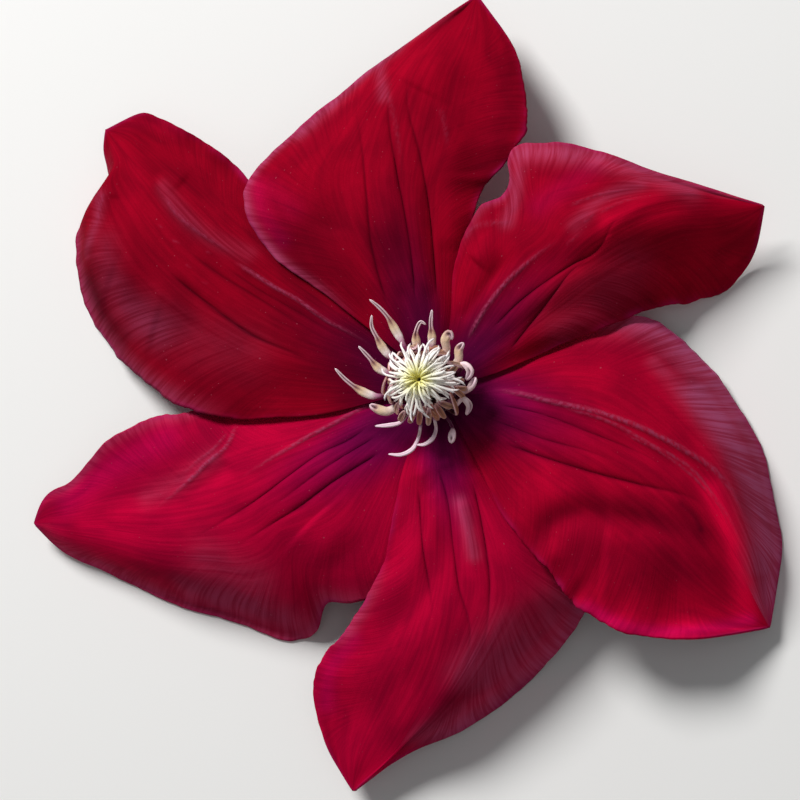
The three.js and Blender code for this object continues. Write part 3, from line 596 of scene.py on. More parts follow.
def paint_blade(mesh, spec, u, v, points, half_width, masks):
    """UV maps in mm and the soft masks that the velvet is coloured by, painted shade, light and sheen among
    them.
    """
    across = np.abs(v) * UV_HALF_WIDTH
    beside = np.where(v > 0, 0.0, UV_RIGHT_SHIFT) + across
    steepness = STRIAE_SLOPE * across - STRIAE_BEND * across**2
    set_uv(mesh, "Blade", u * UV_LENGTH, beside)
    set_uv(mesh, "Striae", u * UV_LENGTH - steepness, beside)
    open_reach, bar_reach = spec["throat"]
    reach = open_reach + (bar_reach - open_reach) * fading(v, THROAT_BAR)
    from_axis = np.linalg.norm(points[:, :2], axis=1)
    from_margin = (1 - np.abs(v)) * half_width
    # Painted velvet sheen: the mauve strokes, then the mauve bands along the margins.
    nap = masks["mauve"]
    for side, start, end, width, strength in spec["nap"]:
        rise, fall = ((at - ease, at + ease) for at, ease in zip((start, end), SHEEN_BAND_EASE))
        band = fading(from_margin, width) * plateau(u, rise, fall) * strength
        nap = np.maximum(nap, np.where(v * side > 0, band, 0.0))
    # Among these: painted shade along the grooves, partly their veins; a painted highlight on the ridges;
    # painted shade and light from the strokes and over the whole sepal; a flush partly painted light; and a
    # painted velvet sheen.
    set_attributes(
        mesh,
        outer=smoothstep(*OUTER_ACROSS, np.abs(v)) * smoothstep(*OUTER_ALONG, u),
        throat=1 - smoothstep(0.0, 1.0, (from_axis - THROAT_START) / reach),
        groove=masks["groove"] * MARK_STRENGTH,
        crest=masks["ridge"] * MARK_STRENGTH,
        # The flush: partly the margin's own pink, partly painted light.
        flush=np.clip(masks["flush"], 0, 1),
        darker=np.clip(masks["shade"], 0, 1),
        brighter=np.clip(-masks["shade"], 0, 1),
        rim=fading(from_margin, RIM_WIDTH) * smoothstep(*RIM_ALONG, u),
        rosy=spec["rosy"],
        deep=spec["deep"],
        nap=np.clip(nap, 0, 1),
    )


def build_sepal(node, spec, settings, materials):
    deselect_all()
    bpy.ops.mesh.primitive_grid_add(
        x_subdivisions=BLADE_CELLS, y_subdivisions=BLADE_CELLS, size=2, location=(0, 0, 0)
    )
    obj = rename(bpy.context.object, node + "_blade")
    flat = vertex_array(obj.data)
    u = (flat[:, 0] + 1) / 2
    v = flat[:, 1] * (MIDRIB_SPACING + (1 - MIDRIB_SPACING) * flat[:, 1] ** 2)
    points, half_width, masks = sepal_surface(node, spec, u, v)
    paint_blade(obj.data, spec, u, v, points, half_width, masks)
    half = settings.blade_thickness / 2 / MM
    points[:, 2] = half + FLOOR_EASE * np.logaddexp(0, (points[:, 2] - half) / FLOOR_EASE)
    low, high = (np.array(corner)[:2] / MM - AXIS for corner in FRAME_BOUNDS)
    points[:, :2] = np.clip(points[:, :2], low + half, high - half)
    place_vertices(obj.data, points)
    merge_points(obj)
    for material in materials:
        obj.data.materials.append(material)
    bpy.ops.object.modifier_add(type="SOLIDIFY")
    solidify = obj.modifiers[-1]
    solidify.thickness = settings.blade_thickness
    solidify.offset = 0
    solidify.material_offset = 1
    bpy.ops.object.modifier_apply(modifier=solidify.name)
    finish_piece(obj, node)


# ---------------------- materials


class Skin:
    """A new material whose colour is laid on in coats, each over the ones before it.

    A factor or source is a number, a node's output or the name of a mesh attribute.
    """

    def __init__(self, name):
        self.material = bpy.data.materials.new(name)
        self.material.use_nodes = True
        self.tree = self.material.node_tree
        self.shader = self.tree.nodes["Principled BSDF"]
        self.colour = None

    def feed(self, socket, value):
        if isinstance(value, str):
            value = self.node("Attribute", {}, "Fac", attribute_name=value)
        if isinstance(value, bpy.types.NodeSocket):
            self.tree.links.new(value, socket)
        else:
            socket.default_value = (*value, 1) if socket.type == "RGBA" else value

    def node(self, kind, inputs, output=0, **settings):
        """One output of a new node with these settings and inputs."""
        node = self.tree.nodes.new("ShaderNode" + kind)
        for name, value in settings.items():
            setattr(node, name, value)
        for socket, value in inputs.items():
            self.feed(node.inputs[socket], value)
        return node.outputs[output]

    def uv(self, name):
        return self.node("UVMap", {}, uv_map=name)

    def place(self):
        return self.node("TexCoord", {}, "Object")

    def mixed(self, factor, first, second, blend="MIX"):
        return self.node("Mix", {0: factor, 6: first, 7: second}, 2, data_type="RGBA", blend_type=blend)

    def calculated(self, operation, first, second, clamp=False):
        return self.node("Math", {0: first, 1: second}, operation=operation, use_clamp=clamp)

    def ranged(self, value, low, high, to_low=0.0, to_high=1.0):
        limits = {"From Min": low, "From Max": high, "To Min": to_low, "To Max": to_high}
        return self.node("MapRange", {"Value": value, **limits})

    def noise(self, vector, scale, detail=3.0, roughness=0.55):
        """Noise, stretched by a scale for each direction."""
        stretched = self.node("Mapping", {"Vector": vector, "Scale": (*scale, 1)[:3]})
        return self.node(
            "TexNoise", {"Vector": stretched, "Scale": 1.0, "Detail": detail, "Roughness": roughness}, "Fac"
        )

    def ramp(self, stops, source):
        """A colour ramp through (position, colour) stops, driven by source."""
        node = self.tree.nodes.new("ShaderNodeValToRGB")
        elements = node.color_ramp.elements
        for element, (position, colour) in zip(elements, (stops[0], stops[-1])):
            element.position = position
            element.color = (*colour, 1)
        for position, colour in stops[1:-1]:
            elements.new(position).color = (*colour, 1)
        self.feed(node.inputs[0], source)
        return node.outputs[0]

    def lay(self, factor, colour):
        """Lay a colour over the coats so far, as far as factor says."""
        self.colour = self.mixed(factor, self.colour, colour)

    def tint(self, factor, tint):
        """Multiply the colour by tint, as far as factor says."""
        self.lay(factor, self.mixed(1.0, self.colour, tint, "MULTIPLY"))

    def finish(self, relief, depth, strength=0.5, **sockets):
        """Feed the colour and the relief to the shader, and set its plain sockets."""
        bump = self.node("Bump", {"Strength": strength, "Distance": depth * MM, "Height": relief})
        for name, value in {"Base_Color": self.colour, "Normal": bump, **sockets}.items():
            self.feed(self.shader.inputs[name.replace("_", " ")], value)
        return self.material


# Shares of the sepals' two reds from the open blade (0) to the throat (1).
THROAT_SHADES = {
    "crimson": ((0, (1, 1, 1)), (0.35, (0.72, 1, 1.1)), (0.7, (0.44, 1.5, 1.5)), (1, (0.29, 3.2, 3.2))),
    "magenta": ((0, (1, 1, 1)), (0.35, (0.76, 1, 1.35)), (0.7, (0.46, 1.6, 1.6)), (1, (0.27, 3.8, 1.6))),
}
# Tints for the painted shade over a whole sepal, the painted shade and painted light of the shade strokes,
# and the flush, which is partly painted light.
BLADE_TINTS = {
    "deep": (0.5, 0.5, 0.55), "darker": (0.35, 0.4, 0.55), "brighter": (2, 1.8, 2), "flush": (1.4, 3.5, 3.6),
}
PATCH_SCALE = (0.10, 0.20)                 # noise scales along and across a blade, per mm
VEIN_SCALE = (0.07, 1.5)
POLLEN = (0.42, 0.08, 0.13)
# A painted highlight along the ridges.
PAINTED_RIDGE_HIGHLIGHT = (0.32, 0.045, 0.11)
RIM_MAGENTA = (0.38, 0.010, 0.10)


def velvet_material(settings):
    """Crimson velvet: wine-dark at the throat, fine veins, a magenta rim, painted shade and light, painted
    highlights on the ridges and a painted mauve sheen.
    """
    skin = Skin("crimson_velvet")
    blade = skin.uv("Blade")
    reds = []
    for name, shades in THROAT_SHADES.items():
        red = getattr(settings, name)
        stops = [(at, [part * share for part, share in zip(red, shade)]) for at, shade in shades]
        reds.append(skin.ramp(stops, "throat"))
    skin.colour = skin.mixed("rosy", *reds)
    # Painted shade over the whole sepal and under the shade strokes, painted light under the negative ones,
    # and the flush, partly the margin's own pink and partly painted light.
    for mask, tint in BLADE_TINTS.items():
        skin.tint(mask, tint)
    patches = skin.noise(blade, PATCH_SCALE, detail=4.0)
    skin.tint(skin.ranged(patches, 0.62, 0.40, 0.0, 0.8), (0.70, 0.7, 0.8))
    veins = skin.noise(blade, VEIN_SCALE, detail=2.5, roughness=0.6)
    stripes = skin.noise(skin.uv("Striae"), (2.0, 0.10), detail=2.5, roughness=0.6)
    lines = skin.mixed("outer", veins, stripes)
    skin.tint(skin.ranged(lines, 0.56, 0.36, 0.0, 0.4), (0.58, 0.62, 0.75))
    skin.tint(skin.ranged(lines, 0.52, 0.72, 0.0, 0.3), (1.22, 2.2, 1.4))
    grain = skin.noise(blade, (3.5, 5.0), detail=2.0, roughness=0.7)
    skin.tint(skin.ranged(grain, 0.40, 0.62, 0.0, 0.35), (1.25, 2.5, 1.4))
    specks = skin.noise(blade, (2.2, 3.0), detail=0.0)
    skin.lay(skin.ranged(specks, 0.835, 0.87, 0.0, 0.4), POLLEN)
    # Painted shade along the grooves, partly the dark veins that run in them.
    skin.tint("groove", (0.25, 0.4, 0.5))
    # A painted highlight along the ridges, broken into beads.
    highlight_beads = skin.ranged(skin.noise(blade, (1.3, 2.6)), 0.42, 0.60, 0.25, 1.0)
    skin.lay(skin.calculated("MULTIPLY", "crest", highlight_beads), PAINTED_RIDGE_HIGHLIGHT)
    # Painted velvet sheen in the mauve bands and strokes, streaked by the veins.
    streaked_sheen = skin.ranged(lines, 0.40, 0.60, 0.5, 1.3)
    skin.lay(skin.calculated("MULTIPLY", "nap", streaked_sheen, clamp=True), tuple(settings.nap))
    patchy = skin.ranged(skin.noise(blade, (0.12, 0.02)), 0.46, 0.62, 0.1, 0.6)
    skin.lay(skin.calculated("MULTIPLY", "rim", patchy), RIM_MAGENTA)
    return skin.finish(
        skin.calculated("ADD", lines, skin.calculated("MULTIPLY", grain, 0.3)), 0.10, Roughness=0.75,
        Specular_IOR_Level=0.01, Sheen_Weight=0.10, Sheen_Roughness=0.2, Sheen_Tint=(1.0, 0.3, 0.6),
    )


def underside_material():
    """The paler back of a sepal: dusky rose with three greenish-buff bars and net veins."""
    skin = Skin("sepal_back")
    blade = skin.uv("Blade")
    patches = skin.ranged(skin.noise(blade, PATCH_SCALE, detail=4.0), 0.35, 0.65)
    skin.colour = skin.mixed(patches, (0.17, 0.016, 0.045), (0.27, 0.045, 0.085))
    veins = skin.noise(blade, VEIN_SCALE, detail=2.5)
    stripes = skin.noise(skin.uv("Striae"), (1.25, 0.10), detail=2.0)
    lines = skin.mixed("outer", veins, stripes)
    skin.tint(skin.ranged(lines, 0.50, 0.70, 0.0, 0.7), (1.5, 2.2, 1.6))
    skin.lay("groove", (0.33, 0.20, 0.13))
    skin.lay(skin.calculated("MULTIPLY", "throat", 0.45), (0.34, 0.19, 0.15))
    return skin.finish(
        lines, 0.12, Roughness=0.7, Specular_IOR_Level=0.12, Sheen_Weight=0.3, Sheen_Roughness=0.4,
        Sheen_Tint=(1.0, 0.8, 0.9),
    )


STAMEN_STOPS = (
    (0.0, (0.07, 0.005, 0.030)), (0.36, (0.17, 0.010, 0.075)), (0.42, (0.52, 0.22, 0.36)),
    (0.49, (0.88, 0.76, 0.74)), (0.60, (0.80, 0.60, 0.38)), (0.68, (0.50, 0.26, 0.19)),
    (0.75, (0.82, 0.55, 0.60)), (1.0, (0.93, 0.76, 0.80)),
)
AGED_BUFF = (0.74, 0.40, 0.26)
LILAC = (1.0, 0.74, 0.86)
EDGE_PINK = (1.0, 0.66, 0.68)
# Painted shade in the anthers' furrows.
PAINTED_FURROW_SHADE = (0.09, 0.012, 0.035)


def stamen_material():
    """Stamens: wine filament, buff anther with furrows darkened by painted shade, pink edges and a lilac tip.
    """
    skin = Skin("stamen_skin")
    place = skin.place()
    skin.colour = skin.ramp(STAMEN_STOPS, "tone")
    skin.tint(skin.ranged(skin.noise(place, (900, 900, 900)), 0.6, 0.4, 0.0, 0.5), (0.72, 0.62, 0.60))
    skin.tint("aged", AGED_BUFF)
    skin.lay("lilac", LILAC)
    thin_edge = skin.ranged("edge", 0.86, 1.0, 0.0, 0.5)
    broad_edge = skin.ranged("edge", 0.76, 0.96, 0.0, 0.95)
    skin.lay(skin.node("Mix", {0: "broad", 2: thin_edge, 3: broad_edge}, data_type="FLOAT"), EDGE_PINK)
    # Painted shade laid in the furrows.
    skin.lay("furrow", PAINTED_FURROW_SHADE)
    grain = skin.noise(place, (4000, 4000, 4000), detail=2.0)
    return skin.finish(grain, 0.05, Roughness=0.55, Specular_IOR_Level=0.3, Sheen_Weight=0.15)


STYLE_STOPS = (
    (0.0, (0.34, 0.30, 0.03)), (0.10, (0.86, 0.80, 0.22)), (0.26, (1.0, 0.96, 0.50)),
    (0.42, (1.0, 0.98, 0.74)), (0.60, (1.0, 0.97, 0.90)), (1.0, (1.0, 0.93, 0.93)),
)


def style_material():
    """Styles: olive at the root, yellow where they part, silky cream out to pinkish tips."""
    skin = Skin("style_silk")
    place = skin.place()
    skin.colour = skin.ramp(STYLE_STOPS, "tone")
    mottle = skin.noise(place, (700, 700, 700), detail=2.0)
    skin.tint(skin.ranged(mottle, 0.6, 0.4, 0.0, 0.5), (0.95, 0.90, 0.84))
    hairs = skin.noise(place, (5000, 5000, 1500), detail=2.0)
    return skin.finish(
        hairs, 0.04, 0.4, Roughness=0.4, Specular_IOR_Level=0.4, Sheen_Weight=0.35, Sheen_Roughness=0.4
    )


def stalk_material():
    """The stalk and receptacle: dull green flushed purple-brown, ribbed and finely downy."""
    skin = Skin("stalk_skin")
    place = skin.place()
    patches = skin.ranged(skin.noise(place, (90, 90, 90), detail=4.0), 0.35, 0.65)
    skin.colour = skin.mixed(patches, (0.10, 0.030, 0.035), (0.13, 0.12, 0.045))
    skin.tint(skin.calculated("MULTIPLY", "furrow", 0.6), (1.7, 1.5, 1.3))
    end = skin.ranged("along", 0.9955, 0.9965)
    skin.lay(skin.calculated("SUBTRACT", end, "cut", clamp=True), (0.42, 0.44, 0.20))
    grain = skin.noise(place, (2500, 2500, 2500))
    return skin.finish(grain, 0.06, Roughness=0.6, Specular_IOR_Level=0.3, Sheen_Weight=0.2)


# ---------------------- strands

EDGE_ALONG = (0.35, 0.5)    # shares of a strand's length over which its bright edges set in


def strand_template(name, rings, sides):
    """A flat sheet of rings by sides that each strand of a kind rolls into its tube."""
    deselect_all()
    bpy.ops.mesh.primitive_grid_add(x_subdivisions=rings, y_subdivisions=sides, size=2, location=(0, 0, 0))
    return rename(bpy.context.object, name)


def sweep_frames(path, rings):
    """Centres, side and upper directions at even steps along a smooth path in mm."""
    centres = sampled_line(path, rings - 1, axes=3)
    tangents = np.gradient(centres, axis=0)
    tangents /= np.linalg.norm(tangents, axis=1)[:, None]
    upper = np.zeros_like(centres)
    carried = -centres[0] * (1, 1, 0)
    if not carried.any():
        carried = np.array([1.0, 0.0, 0.0])
    for i, tangent in enumerate(tangents):
        carried = carried - carried.dot(tangent) * tangent
        carried /= np.linalg.norm(carried)
        upper[i] = carried
    return centres, np.cross(tangents, upper), upper


def roll_strand(template, name, path, section, twist=0.0, **attributes):
    """A copy of the template rolled into a tube along path; section shapes it all round.

    An attribute is a number, or a table of shares of the length with the values there.
    """
    obj = template.copy()
    obj.data = template.data.copy()
    bpy.context.collection.objects.link(obj)
    rename(obj, name)
    flat = vertex_array(obj.data)
    along = (flat[:, 0] + 1) / 2
    rings = len(np.unique(np.round(along, 6)))
    ring = np.round(along * (rings - 1)).astype(int)
    around = math.pi * (flat[:, 1] + 1)
    centres, side, upper = sweep_frames(path, rings)
    turn = (twist * np.linspace(0, 1, rings) ** 2)[:, None]
    side, upper = side * np.cos(turn) + upper * np.sin(turn), upper * np.cos(turn) - side * np.sin(turn)
    across, rise, furrow = section(along, around)
    place_vertices(obj.data, centres[ring] + across[:, None] * side[ring] + rise[:, None] * upper[ring])
    edge = np.abs(np.cos(around)) * smoothstep(*EDGE_ALONG, along)
    values = {
        key: value if np.isscalar(value) else column_values(value, along)[0]
        for key, value in attributes.items()
    }
    set_attributes(obj.data, along=along, furrow=furrow, edge=edge, **values)
    return obj


def join_strands(strands, name):
    deselect_all()
    for strand in strands:
        strand.select_set(True)
    bpy.context.view_layer.objects.active = strands[0]
    bpy.ops.object.join()
    obj = rename(bpy.context.object, name)
    merge_points(obj)
    edit_whole(obj, bpy.ops.mesh.normals_make_consistent, inside=False)
    return obj


def flat_section(profile, hollow=0.32, end_reach=0.03, face=1):
    """A wide, flat section with rounded ends, furrowed on its inner face (1) or outer one (-1)."""

    def section(along, around):
        half_width, half_depth, furrow = column_values(profile, along)
        from_end = np.clip(np.minimum(along, 1 - along) / end_reach, 0, 1)
        ends = np.sqrt(np.clip(1 - (1 - from_end) ** 2, 0, 1))
        notch = fading(np.cos(around), hollow) * np.clip(face * np.sin(around), 0, 1)
        rise = half_depth * ends * (np.sin(around) - face * furrow * notch)
        return half_width * ends * np.cos(around), rise, notch * np.clip(furrow, 0, 1)

    return section


def ribbing(around):
    """1 on the crests of as many ribs as there are sepals, 0 between them."""
    return 0.5 + 0.5 * np.cos(len(SEPALS) * around)


def round_section(profile, welt=0.0):
    """A round section through a profile of radii, with low welts where their depth is given."""

    def section(along, around):
        swell = ribbing(around) if welt else np.zeros_like(along)
        radius = column_values(profile, along)[0] * (1 - welt + welt * swell)
        return radius * np.cos(around), radius * np.sin(around), swell

    return section


# ---------------------- the stamens

# Kinds of stamen, by shares of their length. profile: half width, half depth and depth of the
# furrow there, in mm. tone: the place reached in the colours of a long stamen. lilac: how far
# it turns lilac, if it does. Upright ones stand in rings, the other kinds have bent outward.
STAMEN_KINDS = {
    "long": {
        "profile": (
            (0, 0.36, 0.3, 0), (0.3, 0.28, 0.26, 0), (0.4, 0.38, 0.32, 0), (0.48, 0.68, 0.46, 0.1),
            (0.59, 0.74, 0.46, 0.25), (0.67, 0.52, 0.36, 0.9), (0.72, 0.36, 0.28, 1.2),
            (0.87, 0.32, 0.24, 1.2), (1, 0.16, 0.12, 0.4),
        ),
        "tone": ((0, 0), (1, 1)),
    },
    "slim": {
        "profile": (
            (0, 0.34, 0.3, 0), (0.3, 0.26, 0.22, 0), (0.5, 0.28, 0.24, 0.1), (0.7, 0.38, 0.28, 0.3),
            (0.85, 0.32, 0.24, 0.4), (1, 0.14, 0.12, 0.2),
        ),
        "tone": ((0, 0), (0.3, 0.3), (0.5, 0.75), (1, 1)),
        "lilac": ((0.28, 0), (0.5, 0.9), (1, 0.9)),
    },
    "shell": {
        "profile": (
            (0, 0.34, 0.3, 0), (0.35, 0.36, 0.28, 0), (0.5, 0.66, 0.46, 0), (0.74, 0.8, 0.56, 0),
            (0.82, 0.78, 0.56, 0.3), (0.87, 0.7, 0.52, 1.5), (0.93, 0.56, 0.44, 1.2), (1, 0.26, 0.2, 0),
        ),
        "tone": ((0, 0), (0.38, 0.38), (0.48, 0.5), (0.8, 0.61), (0.92, 0.74), (1, 0.9)),
        "lilac": ((0, 0), (0.8, 0.05), (1, 0.3)),
    },
    "knob": {
        "profile": (
            (0, 0.34, 0.3, 0), (0.35, 0.3, 0.26, 0), (0.6, 0.44, 0.34, 0), (0.76, 0.66, 0.48, 0.2),
            (0.84, 0.72, 0.5, 1.2), (0.92, 0.58, 0.42, 1.2), (1, 0.26, 0.2, 0),
        ),
        "tone": ((0, 0), (0.38, 0.38), (0.48, 0.5), (0.76, 0.57), (0.92, 0.74), (1, 0.9)),
        "lilac": ((0.38, 0), (0.55, 0.6), (1, 0.75)),
    },
    "bud": {
        "profile": (
            (0, 0.32, 0.28, 0), (0.4, 0.24, 0.22, 0), (0.66, 0.26, 0.24, 0), (0.78, 0.62, 0.46, 0),
            (0.86, 0.67, 0.48, 0.3), (0.9, 0.64, 0.46, 1.4), (0.95, 0.5, 0.38, 0.5), (1, 0.22, 0.16, 0),
        ),
        "tone": ((0, 0), (0.66, 0.3), (0.74, 0.49), (1, 0.6)),
        "lilac": ((0.66, 0), (0.76, 0.75), (1, 0.75)),
    },
    "upright": {
        "profile": (
            (0, 0.34, 0.28, 0), (0.36, 0.26, 0.24, 0), (0.48, 0.32, 0.28, 0.1), (0.62, 0.47, 0.3, 0.5),
            (0.8, 0.53, 0.28, 0.8), (0.92, 0.38, 0.22, 0.7), (1, 0.18, 0.12, 0.2),
        ),
        # Wine-dark a little way up the belly: partly the filament's own colour, partly painted shade where
        # the ring turns under.
        "tone": ((0, 0.1), (0.42, 0.36), (0.5, 0.47), (0.62, 0.6), (0.84, 0.64), (0.94, 0.8), (1, 0.95)),
    },
}

# Stamens that have bent outward, each by its outer half from the bend to the tip.
SPREADING_STAMENS = (
    ("long", ((-5, 9.1, 20.9), (-6.7, 12.1, 21.8), (-8, 13.5, 22.3), (-9.3, 14.6, 22.7))),
    ("long", ((-6.9, 6, 21), (-8.2, 8.3, 21.7), (-9, 10.2, 22.2), (-8.9, 12, 22.6))),
    ("long", ((-8.1, 3.3, 21), (-9.6, 5.1, 21.6), (-11.2, 6.9, 22.4))),
    ("long", ((-9.1, -1.2, 20.8), (-11.6, 0, 21.2), (-13.5, 1.5, 21.9), (-15.1, 3.3, 22.7))),
    ("shell", ((-6.9, -3.9, 21), (-8.2, -3.5, 21.3), (-9.5, -2.8, 21.6))),
    ("slim", ((-4.7, -5.8, 20.4), (-6.5, -6.2, 20.8), (-8.7, -6.3, 21))),
    ("slim", ((-1.8, -8.8, 20), (-2.5, -10.2, 20.5), (-4.2, -11.1, 20.8), (-6.5, -11, 21))),
    ("slim", ((1.4, -7.2, 20.4), (0.7, -8.9, 21), (-0.4, -9.6, 21.2), (-1.7, -9.6, 21))),
    ("bud", ((4.1, -6.9, 20.2), (4.2, -8.2, 21), (4.1, -9.6, 21.2))),
    ("knob", ((4.8, -3.7, 22), (6.5, -2.6, 22.8), (7.3, -3.5, 22.4), (6.7, -5.1, 21.6))),
    ("knob", ((6.5, -1.1, 21.4), (7.7, -0.3, 22.2), (8.5, 1, 22.6))),
    ("knob", ((5.3, 2.9, 22.4), (6.8, 3, 23), (7.6, 2, 23), (6.9, 0.5, 22.6))),
    ("shell", ((5.5, 4.3, 21.8), (5.7, 5.7, 22.6), (6.6, 6.7, 23))),
    ("shell", ((3.5, 6, 22), (3.5, 7.4, 22.9), (4.2, 8.2, 23.2), (4.7, 7.2, 23))),
    ("long", ((1, 8.1, 21.6), (1, 10.1, 22.4), (1.3, 12.4, 23))),
    ("long", ((-1.6, 7.4, 21.8), (-1.3, 9.3, 22.7), (-0.5, 10.4, 23), (0.3, 9.9, 22.8))),
)
SHOULDER = (0.5, 1.3)       # how far out of the collar's rim they bend, and how far above it
COLLAR = {"inner": 2.0, "outer": 4.3, "bottom": 17.3, "top": 18.6}
COLLAR_EDGE = ((0, 0.4), (0.25, 0.1), (0.7, 0))   # in from the rim and down from the top
COLLAR_SIDES = 48
ROOT_DEPTH = 0.7            # of the filaments' roots in the collar
ROOT_INSET = 0.9            # of the spreading stamens' roots from the collar's rim

STAMEN_SEED = 41
STAMEN_CELLS = (46, 20)     # along a stamen and round it

# The two rings of upright stamens: radius at the root, the belly and the head, and the
# height of the head. Their heads all lean a little towards the light.
UPRIGHT_RINGS = ((3.5, 6.6, 5.0, 26.6), (3.1, 5.5, 4.1, 26.8))
UPRIGHT_LEAN = (-0.2, 0.1)
UPRIGHT_RISE = 1.0          # of the filament's first bend over the collar
# The bends above it: share of the swing, share of the way from belly to head, depth below
# the head and share of the extra height.
UPRIGHT_BENDS = ((0.3, 0, 4.9, 0.3), (0.8, 0.35, 2.2, 0.7), (1.5, 1, 0, 1))
UPRIGHT_FORM = {"hollow": 0.42, "face": -1}
# What is drawn for each upright stamen, in radians, mm and shares.
UPRIGHT_PLAY = {
    "angle": (-0.09, 0.09), "swing": (-0.34, 0.34), "swell": (-0.75, 0.40), "tall": (-0.9, 0.3),
    "aged": (0.15, 1.0), "twist": (-0.6, 0.6),
}


def build_collar():
    """The low ring that the stamens rise from, spun from its own outline."""
    outer, inner, bottom, top = (COLLAR[key] for key in ("outer", "inner", "bottom", "top"))
    deselect_all()
    bpy.ops.mesh.primitive_circle_add(
        vertices=COLLAR_SIDES, radius=outer * MM, fill_type="NOTHING",
        location=(AXIS[0] * MM, AXIS[1] * MM, bottom * MM),
    )
    obj = rename(bpy.context.object, "collar")
    bpy.ops.object.transform_apply(location=True)
    bpy.ops.object.mode_set(mode="EDIT")
    bpy.ops.mesh.select_all(action="SELECT")
    rings = [(outer - inset, top - drop) for inset, drop in COLLAR_EDGE]
    radius, height = outer, bottom
    for next_radius, next_height in (*rings, (inner, top), (inner, bottom), (outer, bottom)):
        bpy.ops.mesh.extrude_region_move(
            TRANSFORM_OT_translate={"value": (0, 0, (next_height - height) * MM)}
        )
        share = next_radius / radius
        centre = (AXIS[0] * MM, AXIS[1] * MM, next_height * MM)
        bpy.ops.transform.resize(value=(share, share, 1), center_override=centre)
        radius, height = next_radius, next_height
    bpy.ops.object.mode_set(mode="OBJECT")
    return obj


def upright_path(rng, angle, root, belly, head, height):
    """A filament rising from the collar, bellied out and closing in over the styles."""
    swing, swell, tall = (rng.uniform(*UPRIGHT_PLAY[key]) for key in ("swing", "swell", "tall"))
    path = [
        polar(angle, root, COLLAR["top"] - ROOT_DEPTH),
        polar(angle, root + 0.5 * (belly - root), COLLAR["top"] + UPRIGHT_RISE),
    ]
    for turn, share, drop, rise in UPRIGHT_BENDS:
        radius = share * head + (1 - share) * belly + swell
        path.append(polar(angle + turn * swing, radius, height - drop + rise * tall))
    path = np.array(path)
    path[:, :2] += np.linspace(0, 1, len(path))[:, None] ** 2 * UPRIGHT_LEAN
    return path


def stamen(template, name, kind, path, twist=0.0, aged=0.0, broad=0.0, **form):
    """A stamen of a kind along path; form is what its section is given besides its profile."""
    looks = STAMEN_KINDS[kind]
    return roll_strand(
        template, name, path, flat_section(looks["profile"], **form), twist,
        aged=aged, tone=looks["tone"], lilac=looks.get("lilac", 0.0), broad=broad,
    )


def build_stamens(settings):
    rng = np.random.default_rng(STAMEN_SEED)
    template = strand_template("stamen_template", *STAMEN_CELLS)
    strands = []
    for index, (kind, outer) in enumerate(SPREADING_STAMENS):
        angle = math.atan2(outer[0][1], outer[0][0])
        root = polar(angle, COLLAR["outer"] - ROOT_INSET, COLLAR["top"] - ROOT_DEPTH)
        shoulder = polar(angle, COLLAR["outer"] + SHOULDER[0], COLLAR["top"] + SHOULDER[1])
        strands.append(stamen(template, f"spreading_{index}", kind, (root, shoulder, *outer)))
    for count, ring in zip((settings.outer_uprights, settings.inner_uprights), UPRIGHT_RINGS):
        for i in range(count):
            angle = 2 * math.pi * (i + ring[0]) / count + rng.uniform(*UPRIGHT_PLAY["angle"])
            path = upright_path(rng, angle, *ring)
            aged, twist = (rng.uniform(*UPRIGHT_PLAY[key]) for key in ("aged", "twist"))
            strands.append(
                stamen(template, f"upright_{i}", "upright", path, twist, aged, broad=1.0, **UPRIGHT_FORM)
            )
    bpy.data.objects.remove(template)
    strands.append(build_collar())
    finish_piece(join_strands(strands, "stamens_fine"), "stamens", stamen_material())


# ---------------------- the styles

# Rings of styles from the middle out: how many, radius of the parting, of the crest and of
# the tip, height of the crest and of the tip. Each ring is turned on from the one inside it.
STYLE_RINGS = (
    (9, 0.30, 0.9, 2.2, 29.1, 29.3),
    (17, 0.45, 1.3, 3.7, 29.0, 28.9),
    (27, 0.60, 1.6, 5.0, 28.8, 28.3),
    (34, 0.75, 1.9, 6.1, 28.4, 27.5),
    (34, 0.90, 2.2, 5.6, 27.9, 26.9),
)
RING_TURN = 0.37            # of a style's place
STYLE_SEED = 57
STYLE_CELLS = (22, 8)       # along a style and round it
STYLE_PROFILE = (
    (0, 0.13, 0.12, 0), (0.45, 0.16, 0.14, 0), (0.7, 0.2, 0.16, 0), (0.93, 0.195, 0.15, 0),
    (1, 0.16, 0.12, 0),
)
STYLE_END = 0.05            # share of the length over which an end is rounded
# What is drawn for each style, in radians, mm and shares.
STYLE_PLAY = {
    "angle": (-0.2, 0.2), "sway": (-0.12, 0.12), "hook": (-0.14, 0.14), "reach": (0.78, 1.12),
    "lift": (-0.4, 0.3), "droop": (-0.7, 0.1), "twist": (-0.9, 0.9),
}
STYLE_ROOT = 21.8           # height in the core at which the styles start
PARTING_DROP = 2.4          # from the crest to where a style starts to lean
ARCH_RISE = 0.3             # of the arch between the crest and the tip
TIP_REACH = 0.5             # of the last bend past the tip
CREST_LIFT = 0.4            # share of a style's lift that its crest takes
ARCH_SWAY = 0.6             # share of its sway that its arch takes
TIP_HOOK = 1.8              # how much further its hook turns at the last bend
STYLE_SHIFT = (0.6, 0.2)    # how far the tuft's tips are blown aside
BAY = {"angle": 300, "width": 24, "depth": 0.36}   # where the styles are short, in degrees
TUFT_RADIUS = 6.0
CORE_CELLS = (24, 24)
CORE_PROFILE = ((0, 0), (0.02, 1.5), (0.6, 1.5), (0.85, 1), (1, 0))
CORE_ROUTE = ((0, 0, 17.3), (0, 0, 21.0), (0, 0, 25.2))


